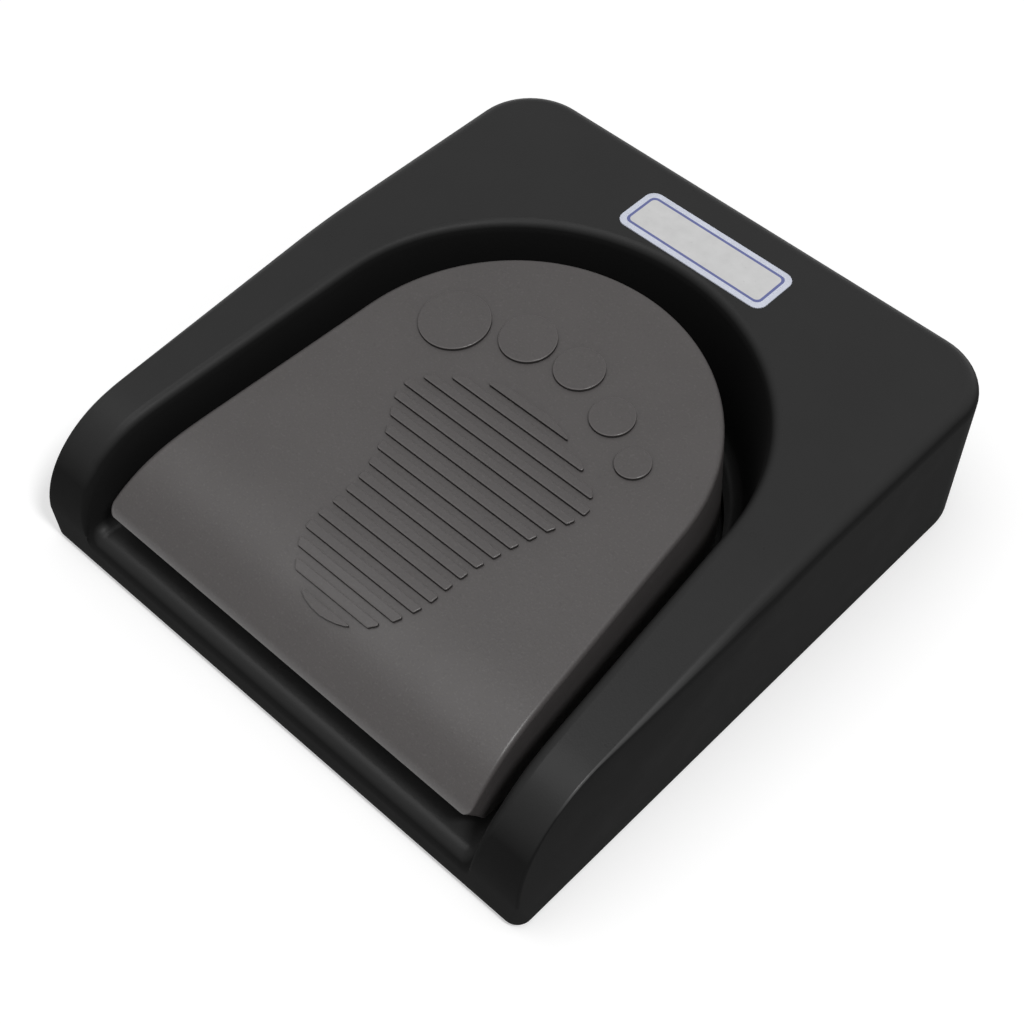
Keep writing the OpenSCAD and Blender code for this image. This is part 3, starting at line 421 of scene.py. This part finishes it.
def build_housing():
    shell = housing_form("pedal_housing", 0, FOOT_GAP, 14)
    room = housing_form("room", WALL, FOOT_GAP - CUT, 5)
    combine(room, [grown_well(6)], "DIFFERENCE")
    combine(shell, [room, rounded_well(10)], "DIFFERENCE")
    grown, holes = [], [floor_opening()]
    for side in (-1, 1):
        x0, x1 = sorted((side * CLAMP_X, side * (CLAMP_X + CLAMP_W)))
        for name, reach, low, high in (
            ("block", BLOCK_REACH, FLOOR_H - EMBED, BLOCK_TOP), ("saddle", PIN_R, BLOCK_TOP - EMBED, HINGE_H),
        ):
            grown.append(box(name, (x0, HINGE_Y - reach, low), (x1, HINGE_Y + reach, high)))
        holes.append(rod("seat", "x", (HINGE_Y, HINGE_H), PIN_R + SNUG, x0 - CUT, x1 + CUT))
        low, high = BLOCK_TOP - CLAMP_SCREW_DEPTH, BLOCK_TOP + CUT
        for y in (HINGE_Y - CLAMP_SCREW_STEP, HINGE_Y + CLAMP_SCREW_STEP):
            holes.append(rod("clamp_hole", "z", ((x0 + x1) / 2, y), CLAMP_SCREW_R + SNUG, low, high, 24))
        low, high = FOOT_GAP + CUT, FOOT_GAP + WALL + CASE_SCREW_DEPTH
        for x, y in CASE_SCREWS:
            grown.append(rod("boss", "z", (side * x, y), BOSS_R, FOOT_GAP + WALL, deck_z(y) - WALL + EMBED))
            holes.append(rod("boss_hole", "z", (side * x, y), CASE_SCREW_R + SNUG, low, high))
    for name, r, depth in (("inlet", INLET_R, WALL + CUT), ("recess", GROMMET_R, GROMMET_FLANGE)):
        holes.append(rod(name, "y", (0, INLET_Z), r + SNUG, BODY_L - depth, BODY_L + CUT, 64))
    combine(shell, grown, "UNION")
    combine(shell, holes, "DIFFERENCE")
    return smooth(shell)


# ---- tread ----


def at_heel(y):
    """1 at the front of the heel, fading to 0."""
    return max(0.0, 1 - (y - TREAD_FRONT) / HEEL_REACH) ** 2


def skirt_z(y):
    """The height of the skirt's lower edge."""
    low = SKIRT_HEEL_H + (SKIRT_TOE_H - SKIRT_HEEL_H) * (y - TREAD_FRONT) / (TOE_Y + TOE_R - TREAD_FRONT)
    return low + HEEL_LIFT * at_heel(y)


def tread_stations(inset, fine):
    """Stations of the tread's right half, heel to toe: x, y and the plan angle of the outward normal."""
    c, front = max(HEEL_CORNER_R - inset, 0.8), TREAD_FRONT + inset
    cx = tread_half(front + c, -inset) - c / math.cos(TREAD_TAPER)
    found = [(cx + c * math.cos(a), front + c + c * math.sin(a), a) for a in steps(-math.pi / 2, 0, fine)]
    found += [(tread_half(y, -inset), y, TREAD_TAPER) for y in steps(front + c + 1, NOSE_START, 2 * fine)]
    found += [(tread_half(y, -inset), y, TREAD_TAPER) for y in steps(NOSE_START, TOE_Y, 6)[1:-1]]
    r, turn = TOE_R - inset, steps(TREAD_TAPER, math.pi / 2, 5 * fine)
    return found + [(r * math.cos(a), TOE_Y + r * math.sin(a), a) for a in turn]


def on_tread(outline, depth):
    """Points of a plan outline laid on the tread's upper surface, depth above it."""
    return [(x, y - depth * math.sin(tread_angle(y)), tread_z(y) + depth * math.cos(tread_angle(y)))
            for x, y in outline]


def raised(outline, edge_r):
    """A raised form with a rounded upper edge."""
    rings = [on_tread(outline, -EMBED)]
    for a in steps(0, math.pi / 2, 4):
        narrower = drawn_in(outline, edge_r * (1 - math.cos(a)))
        rings.append(on_tread(narrower, RELIEF_H - edge_r * (1 - math.sin(a))))
    return stacked(rings)


def curved(outline, count=2):
    """A closed smooth curve through the points of an outline."""
    n, found = len(outline), []
    for i in range(n):
        p = [Vector(outline[(i + k) % n]) for k in (-1, 0, 1, 2)]
        for t in steps(0, 1, count)[:-1]:
            found.append(
                p[1] + (p[2] - p[0]) * t / 2 + (p[0] - 2.5 * p[1] + 2 * p[2] - p[3] / 2) * t**2
                + (1.5 * (p[1] - p[2]) + (p[3] - p[0]) / 2) * t**3
            )
    return found


def cut_off(outline, y, sign):
    """The part of an outline on one side of a line across the tread."""
    found = []
    for p, q in zip(outline, outline[1:] + outline[:1]):
        inside, next_inside = sign * (p.y - y) >= 0, sign * (q.y - y) >= 0
        if inside:
            found.append(p)
        if inside != next_inside:
            found.append(p + (q - p) * (y - p.y) / (q.y - p.y))
    return found


def filleted(outline, r, count=6):
    """An outline with its corners rounded, and the smallest radius that its sharp corners leave room for."""
    found, smallest = [], r
    for before, p, after in zip(outline[-1:] + outline[:-1], outline, outline[1:] + outline[:1]):
        back, on = before - p, after - p
        half = back.angle(on) / 2
        if half > math.radians(75):
            found.append(p)
            continue
        cut = min(r / math.tan(half), 0.45 * back.length, 0.45 * on.length)
        smallest = min(smallest, cut * math.tan(half))
        a, b = p + back.normalized() * cut, p + on.normalized() * cut
        centre = p + ((a + b) / 2 - p) / math.cos(half) ** 2
        found += [centre + (a - centre).lerp(b - centre, t).normalized() * (a - centre).length
                  for t in steps(0, 1, count)]
    return [(p.x, p.y) for p in found], smallest


def footprint():
    """The ribs, cut from the sole's outline, and the toe pads.

    A rib keeps no point of the outline that lies close to a corner of its cut ends.
    """
    sole = curved(SOLE)
    forms = []
    for i in range(RIB_COUNT):
        y = FIRST_RIB_Y + i * RIB_PITCH
        rib = cut_off(cut_off(sole, y, 1), y + RIB_W, -1)
        ends = [p for p in rib if min(abs(p.y - y), abs(p.y - y - RIB_W)) < 0.001]
        kept = [p for p in rib if p in ends or min((p - q).length for q in ends) > CLEAR_OF_ENDS]
        outline, room = filleted(kept, RIB_CORNER_R)
        forms.append(raised(outline, min(RELIEF_EDGE_R, 0.7 * room)))
    return forms + [raised(circle(x, y, r), RELIEF_EDGE_R) for x, y, r in TOE_PADS]


def tread_form(inset, drop, edge, below, tuck, fine):
    """The tread's outer form, drawn in by inset and lowered by drop, its skirt lengthened by below.

    tuck is how far the skirt at the heel goes back under the nose.
    """
    stations = tread_stations(inset, fine)

    def at(s, off):
        return s[0] + off * math.cos(s[2]), s[1] + off * math.sin(s[2])

    def wall_ring(share):
        """A ring on the side wall, from the skirt's lower edge (0) up to the rounded edge (1)."""
        ring = []
        for s in stations:
            low, high = skirt_z(s[1]) - below, tread_z(s[1]) - drop - edge
            lean = min(1.0, (s[2] + math.pi / 2) / (math.pi / 2))
            flare = (tread_z(s[1]) - low) * math.tan(TREAD_DRAFT) * (1 - share)
            x, y = at(s, flare * lean)
            back = tuck * (1 - share) * at_heel(s[1] - inset)
            ring.append((x, y + back, low + (high - low) * share))
        return ring

    rings = [wall_ring(t) for t in steps(0, 1, max(1, fine // 2))][:-1]
    for a in steps(0, math.pi / 2, max(2, fine - 2)):
        ring = []
        for s in stations:
            x, y = at(s, -edge * (1 - math.cos(a)))
            ring.append((x, y, tread_z(y) - drop - edge * (1 - math.sin(a))))
        rings.append(ring)
    return mirrored_loft(rings)


def roof_z(y):
    """The height of the underside of the tread's roof."""
    return tread_z(y) - TREAD_WALL - 0.4 * TREAD_WALL * max(0.0, (NOSE_START - y) / NOSE_START)


def web(x0, x1, y0, y1, low0, low1):
    """A web under the roof, its lower edge running from low0 to low1."""
    outline = [(y0, low0), (y1, low1), (y1, roof_z(y1) + EMBED), (y0, roof_z(y0) + EMBED)]
    return mesh_object("web", across(outline, x0, x1))


def build_tread():
    tread = mesh_object("pedal_tread", tread_form(0, 0, TREAD_EDGE_R, 0, HEEL_TUCK, 10))
    room = mesh_object("room", tread_form(TREAD_WALL, TREAD_WALL, MIN_EDGE, CUT, HEEL_TUCK_INSIDE, 3))
    combine(tread, [room], "DIFFERENCE")
    grown, holes = [], []
    for side in (-1, 1):
        def span(x, width):
            return sorted((side * x, side * (x + width)))

        grown.append(web(*span(EAR_X, EAR_W), HINGE_Y - EAR_R, HINGE_Y + EAR_R, HINGE_H, HINGE_H))
        grown.append(rod("ear", "x", (HINGE_Y, HINGE_H), EAR_R, *span(EAR_X, EAR_W)))
        through = span(EAR_X - CUT, EAR_W + 2 * CUT)
        holes.append(rod("bore", "x", (HINGE_Y, HINGE_H), PIN_R + EAR_PLAY, *through))
        y0, low = HINGE_Y - REST_Y, FLOOR_H + REST_H
        grown.append(web(*span(REST_X, REST_W), y0, y0 + REST_T, low, low))
        grown.append(rod("stop", "z", (side * STOP_X, STOP_Y), STOP_R, STOP_Z, roof_z(STOP_Y) + EMBED))
        cup = (side * SPRING_X, SPRING_Y)
        grown.append(rod("cup", "z", cup, CUP_R + CUP_WALL, CUP_LOW, roof_z(SPRING_Y) + EMBED))
        holes.append(rod("seat", "z", cup, CUP_R, CUP_LOW - CUT, CUP_TOP))
        y0, y1 = HINGE_Y + STIFFENER_START, HINGE_Y + STIFFENER_END
        low0, low1 = roof_z(y0) - STIFFENER_H, roof_z(y1) - STIFFENER_H
        grown.append(web(*span(STIFFENER_X, STIFFENER_T), y0, y1, low0, low1))
    grown.append(web(*LEVER_PAD_X, *LEVER_PAD_Y, LEVER_PAD_Z, LEVER_PAD_Z))
    combine(tread, grown, "UNION")
    combine(tread, holes, "DIFFERENCE")
    relief = mesh_object("relief", *footprint())
    # The relief's side faces get a darker material, which is painted shade; its rounded upper edges get a
    # paler one, which is a painted highlight.
    painted_shade, highlighted_edge = 1, 2
    for face in relief.data.polygons:
        slope = tread_angle(from_frame(face.center)[1])
        rise = face.normal.z * math.cos(slope) - face.normal.y * math.sin(slope)
        face.material_index = painted_shade if rise < 0.3 else highlighted_edge if rise < 0.97 else 0
    bm = bmesh.new()
    bm.from_mesh(tread.data)
    bm.from_mesh(relief.data)
    bm.to_mesh(tread.data)
    bm.free()
    bpy.data.objects.remove(relief)
    return smooth(tread)


# ---- sticker ----


def rounded_rectangle(width, length, r, count=8):
    outline = []
    for sx, sy, first in ((1, 1, 0), (-1, 1, 90), (-1, -1, 180), (1, -1, 270)):
        outline += circle(sx * (width / 2 - r), sy * (length / 2 - r), r, count, first, first + 90)
    return outline


def build_label():
    """The printed sticker: a pale border, a blue line and a grey field, as rings of one flat piece."""
    def ring(inset, r, down=0.0):
        return [(LABEL_X + x, LABEL_Y + y, DECK_H + LABEL_T - down)
                for x, y in rounded_rectangle(LABEL_W - 2 * inset, LABEL_L - 2 * inset, r)]

    rings = [
        ring(0, LABEL_R, LABEL_T), ring(0, LABEL_R, 0.06), ring(0.02, LABEL_R, 0.02),
        ring(0.06, LABEL_R - 0.05), ring(LINE_IN - LINE_W / 2, 1.2), ring(LINE_IN + LINE_W / 2, 0.9),
    ]
    label = mesh_object("printed_label", stacked(rings))
    for face in label.data.polygons:
        centre = from_frame(face.center)
        inset = min(LABEL_W / 2 - abs(centre[0] - LABEL_X), LABEL_L / 2 - abs(centre[1] - LABEL_Y))
        if face.normal.z > 0.9 and inset > LINE_IN - LINE_W / 2:
            face.material_index = 1 if inset < LINE_IN + LINE_W / 2 else 2
    return smooth(label)


housing = build_housing()
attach(housing, "case")
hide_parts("housing")

tread = build_tread()
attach(tread, "tread")
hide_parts("tread")

label = build_label()
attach(label, "case")
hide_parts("label")


# ---- materials ----


def new_material(name):
    material = bpy.data.materials.new(name)
    material.use_nodes = True
    tree = material.node_tree
    return material, tree, tree.nodes["Principled BSDF"]


def noise(tree, size_mm, detail=2.0, stretch=(1, 1, 1)):
    """Noise whose features measure about size_mm, in the part's own coordinates."""
    place = tree.nodes.new("ShaderNodeTexCoord")
    mapping = tree.nodes.new("ShaderNodeMapping")
    mapping.inputs["Scale"].default_value = stretch
    made = tree.nodes.new("ShaderNodeTexNoise")
    made.inputs["Scale"].default_value = 1 / (size_mm * MM)
    made.inputs["Detail"].default_value = detail
    tree.links.new(place.outputs["Object"], mapping.inputs["Vector"])
    tree.links.new(mapping.outputs["Vector"], made.inputs["Vector"])
    return made.outputs["Fac"]


def spread(tree, value, low, high, to_low, to_high):
    """value from low..high to to_low..to_high."""
    made = tree.nodes.new("ShaderNodeMapRange")
    for name, number in zip(("From Min", "From Max", "To Min", "To Max"), (low, high, to_low, to_high)):
        made.inputs[name].default_value = number
    tree.links.new(value, made.inputs["Value"])
    return made.outputs["Result"]


def mixed(tree, share, first, second):
    """first turning into second by share; each is a colour or a socket."""
    made = tree.nodes.new("ShaderNodeMix")
    made.data_type = "RGBA"
    tree.links.new(share, made.inputs["Factor"])
    for socket, colour in ((made.inputs[6], first), (made.inputs[7], second)):
        if isinstance(colour, bpy.types.NodeSocket):
            tree.links.new(colour, socket)
        else:
            socket.default_value = (*colour, 1)
    return made.outputs[2]


def bumped(tree, height, depth_mm):
    made = tree.nodes.new("ShaderNodeBump")
    made.inputs["Strength"].default_value = 1
    made.inputs["Distance"].default_value = depth_mm * MM
    tree.links.new(height, made.inputs["Height"])
    return made.outputs["Normal"]


def scaled(colour, by):
    return tuple(c * by for c in colour)


def coordinate(tree, kind, axis):
    """One coordinate of the position ("Object") or of the surface's direction ("Normal")."""
    place = tree.nodes.new("ShaderNodeTexCoord")
    parts = tree.nodes.new("ShaderNodeSeparateXYZ")
    tree.links.new(place.outputs[kind], parts.inputs["Vector"])
    return parts.outputs[axis]


def math_node(tree, operation, *values):
    made = tree.nodes.new("ShaderNodeMath")
    made.operation = operation
    for socket, value in zip(made.inputs, values):
        if isinstance(value, bpy.types.NodeSocket):
            tree.links.new(value, socket)
        else:
            socket.default_value = value
    return made.outputs[0]


def front_edge_highlight(tree):
    """1 on the outer edges of the rails near the front, fading to the rear: where a highlight is painted in a
    paler colour, with a smoother finish.
    """
    lean = math_node(tree, "ABSOLUTE", coordinate(tree, "Normal", "X"))
    aside = math_node(tree, "ABSOLUTE", coordinate(tree, "Object", "X"))
    along = coordinate(tree, "Object", "Y")
    front, brightest, fading, plain = ((y - BODY_L / 2) * MM for y in (8, 12, 18, 50))
    share = spread(tree, lean, 0.12, 0.35, 0, 1)
    for value, none, full in (
        (lean, 0.92, 0.75), (aside, 48.2 * MM, 49.5 * MM), (along, front, brightest), (along, plain, fading),
    ):
        share = math_node(tree, "MULTIPLY", share, spread(tree, value, none, full, 0, 1))
    return share


def moulded(name, colour, roughness, grain_mm=0.35, grain_depth=0.02, specks=0.0, gloss=0.5, shaded_sides=None):
    """Moulded plastic: a fine eroded grain, pale and dark specks, and broad uneven patches.

    If given, the last argument holds the colour and roughness of upright faces; their darker colour is
    painted shade. With it, the rails' front outer edges get a painted highlight: a paler colour and a
    smoother finish.
    """
    material, tree, bsdf = new_material(name)
    rough = spread(tree, noise(tree, 6, 3), 0.3, 0.7, roughness - 0.03, roughness + 0.03)
    top = colour
    if shaded_sides:
        # Upright faces get a darker colour here: painted shade.
        up = spread(tree, coordinate(tree, "Normal", "Z"), 0.5, 0.97, 0, 1)
        # The rails' front outer edges get a paler colour here: a painted highlight.
        edge_highlight = front_edge_highlight(tree)
        top = mixed(tree, edge_highlight, mixed(tree, up, shaded_sides[0], colour), scaled(colour, 2.2))
        smoother = math_node(tree, "MAXIMUM", up, edge_highlight)
        rough = math_node(tree, "ADD", rough, spread(tree, smoother, 0, 1, shaded_sides[1] - roughness, 0))
    patches = tree.nodes.new("ShaderNodeMix")
    patches.data_type = "RGBA"
    patches.blend_type = "MULTIPLY"
    patches.inputs["Factor"].default_value = 1
    shade = spread(tree, noise(tree, 14, 4), 0.3, 0.7, 0.97, 1.03)
    if isinstance(top, bpy.types.NodeSocket):
        tree.links.new(top, patches.inputs[6])
    else:
        patches.inputs[6].default_value = (*top, 1)
    tree.links.new(shade, patches.inputs[7])
    base = patches.outputs[2]
    grain = noise(tree, grain_mm, 2)
    if specks:
        base = mixed(tree, spread(tree, grain, 0.56, 0.74, 0, specks), base, scaled(colour, 2.4))
        dark = spread(tree, noise(tree, grain_mm * 1.4, 2), 0.42, 0.28, 0, specks)
        base = mixed(tree, dark, base, scaled(colour, 0.4))
    tree.links.new(base, bsdf.inputs["Base Color"])
    tree.links.new(rough, bsdf.inputs["Roughness"])
    tree.links.new(bumped(tree, grain, grain_depth), bsdf.inputs["Normal"])
    bsdf.inputs["Specular IOR Level"].default_value = gloss
    return material


def printed(name, colour):
    """Ink on satin film, slightly uneven, with a few dark flecks."""
    material, tree, bsdf = new_material(name)
    uneven = spread(tree, noise(tree, 2.5, 3), 0.3, 0.7, 0, 1)
    base = mixed(tree, uneven, scaled(colour, 0.95), scaled(colour, 1.03))
    base = mixed(tree, spread(tree, noise(tree, 0.5, 2), 0.68, 0.8, 0, 0.5), base, scaled(colour, 0.6))
    tree.links.new(base, bsdf.inputs["Base Color"])
    bsdf.inputs["Roughness"].default_value = 0.42
    tree.links.new(bumped(tree, noise(tree, 1.2, 3), 0.01), bsdf.inputs["Normal"])
    return material


def metal(name, colour, roughness, stretch=(1, 1, 1)):
    """Drawn or plated metal: fine lines or grain in its gloss, and a trace of dull patches."""
    material, tree, bsdf = new_material(name)
    base = mixed(tree, spread(tree, noise(tree, 3, 4), 0.35, 0.7, 0, 1), colour, scaled(colour, 0.8))
    tree.links.new(base, bsdf.inputs["Base Color"])
    bsdf.inputs["Metallic"].default_value = 1.0
    lines = noise(tree, 0.3, 3, stretch)
    tree.links.new(spread(tree, lines, 0.3, 0.7, roughness - 0.08, roughness + 0.1), bsdf.inputs["Roughness"])
    tree.links.new(bumped(tree, lines, 0.004), bsdf.inputs["Normal"])
    return material


def dress(obj, *materials):
    if obj.data.materials:
        obj.data.materials.clear()
    for material in materials:
        obj.data.materials.append(material)


# Its upright faces are darker: painted shade. The rails' front outer edges are paler: a painted highlight.
housing_black = moulded(
    "housing_black", (0.027, 0.027, 0.027), 0.3, gloss=0.2, shaded_sides=((0.005, 0.005, 0.005), 1.0),
)
dress(housing, housing_black)
tread_colour = (0.083, 0.077, 0.076)
dress(
    tread,
    moulded("tread_grey", tread_colour, 0.38, grain_mm=0.4, specks=0.15),
    # A darker copy, put on the relief's side faces: painted shade.
    moulded("tread_painted_shade", scaled(tread_colour, 0.35), 0.6, gloss=0.2),
    # A paler, smoother copy, put on the relief's rounded edges: a painted highlight.
    moulded("tread_painted_highlight", scaled(tread_colour, 1.5), 0.32, specks=0.1),
)
dress(
    label,
    printed("label_border", (0.64, 0.67, 0.77)),
    printed("label_line", (0.14, 0.16, 0.36)),
    printed("label_field", (0.64, 0.64, 0.64)),
)
rubber = moulded("rubber", (0.018, 0.018, 0.018), 0.7, grain_mm=0.6)
drawn_steel = metal("steel", (0.55, 0.56, 0.57), 0.3, (0.05, 1, 1))
zinc = metal("zinc", (0.52, 0.52, 0.50), 0.36)
component = moulded("component_dark", (0.03, 0.03, 0.035), 0.45, grain_mm=0.2)
finishes = {
    "base_plate": housing_black,
    "rubber_feet": rubber,
    "heel_rest_pads": rubber,
    "toe_stop_pads": rubber,
    "cord_grommet": rubber,
    "hinge_pin": drawn_steel,
    "return_spring_left": drawn_steel,
    "return_spring_right": drawn_steel,
    "lever_spring": drawn_steel,
    "sensor_shaft": drawn_steel,
    "sensor_nut": drawn_steel,
    "terminal_screws": drawn_steel,
    "hinge_clamps": zinc,
    "clamp_screws": zinc,
    "case_screws": zinc,
    "board_screws": zinc,
    "sensor_bracket": zinc,
    "sensor_body": component,
    "power_transistor": component,
    "sensor_lever": moulded("lever_white", (0.70, 0.68, 0.62), 0.4, grain_mm=0.5),
    "circuit_board": moulded("board_green", (0.02, 0.12, 0.05), 0.3, grain_mm=1.2, grain_depth=0.01),
    "wire_terminal": moulded("terminal_green", (0.03, 0.20, 0.08), 0.35, grain_mm=0.6),
    "capacitor": moulded("capacitor_blue", (0.02, 0.03, 0.10), 0.25, grain_mm=0.8, grain_depth=0.005),
}
for node, material in finishes.items():
    dress(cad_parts[node], material)


# ---- floor, light and camera ----


def seen(tree, strength):
    """strength for camera, glossy and transmission rays, and 0 for the light that falls on the object."""
    path = tree.nodes.new("ShaderNodeLightPath")
    total = path.outputs["Is Camera Ray"]
    for name in ("Is Glossy Ray", "Is Transmission Ray"):
        total = math_node(tree, "MAXIMUM", total, path.outputs[name])
    return spread(tree, total, 0, 1, 0, strength)


def build_floor():
    """A pale floor. Seen directly or mirrored, it is raised to white wherever no shadow falls."""
    bpy.ops.mesh.primitive_plane_add(size=12)
    floor = bpy.context.object
    floor.name = "floor"
    material, tree, bsdf = new_material("floor")
    bsdf.inputs["Base Color"].default_value = (0.78, 0.78, 0.78, 1)
    bsdf.inputs["Roughness"].default_value = 0.9
    bsdf.inputs["Specular IOR Level"].default_value = 0
    bsdf.inputs["Emission Color"].default_value = (1, 1, 1, 1)
    tree.links.new(seen(tree, 0.36), bsdf.inputs["Emission Strength"])
    dress(floor, material)


build_floor()


def area_light(name, place, target, size, watts):
    data = bpy.data.lights.new(name, "AREA")
    data.shape = "DISK"
    data.size = size
    data.energy = watts
    lamp = bpy.data.objects.new(name, data)
    lamp.location = place
    lamp.rotation_mode = "QUATERNION"
    lamp.rotation_quaternion = (Vector(target) - Vector(place)).to_track_quat("-Z", "Y")
    bpy.context.scene.collection.objects.link(lamp)


def build_world():
    """An even, dim studio dome."""
    world = bpy.data.worlds.new("world")
    bpy.context.scene.world = world
    world.use_nodes = True
    tree = world.node_tree
    background = tree.nodes["Background"]
    background.inputs["Color"].default_value = (1, 1, 1, 1)
    background.inputs["Strength"].default_value = 0.4


area_light("key", (0.55, -0.1, 0.95), (0, 0, 0.02), 0.2, 4.7)
area_light("fill", (-0.25, -0.22, 1.1), (0, 0, 0.02), 0.9, 2.8)
build_world()


def build_camera():
    """The photograph's camera, from a fit to the housing's edges and the tread's ribs."""
    place = Vector((129.952, -149.736, 251.285)) * MM
    azimuth, elevation, roll = math.radians(41.417), math.radians(51.816), math.radians(2.126)
    level = Vector((math.sin(azimuth), -math.cos(azimuth), 0))
    back = level * math.cos(elevation) + Vector((0, 0, math.sin(elevation)))
    aside = Vector((0, 0, 1)).cross(back).normalized()
    up = back.cross(aside)
    right = aside * math.cos(roll) + up * math.sin(roll)
    top = up * math.cos(roll) - aside * math.sin(roll)
    data = bpy.data.cameras.new("camera")
    data.sensor_width = 36
    data.lens = 66.09
    camera = bpy.data.objects.new("camera", data)
    camera.matrix_world = Matrix((
        (right.x, top.x, back.x, place.x), (right.y, top.y, back.y, place.y),
        (right.z, top.z, back.z, place.z), (0, 0, 0, 1),
    ))
    bpy.context.scene.collection.objects.link(camera)
    bpy.context.scene.camera = camera


build_camera()

bpy.context.scene.view_settings.view_transform = "Standard"
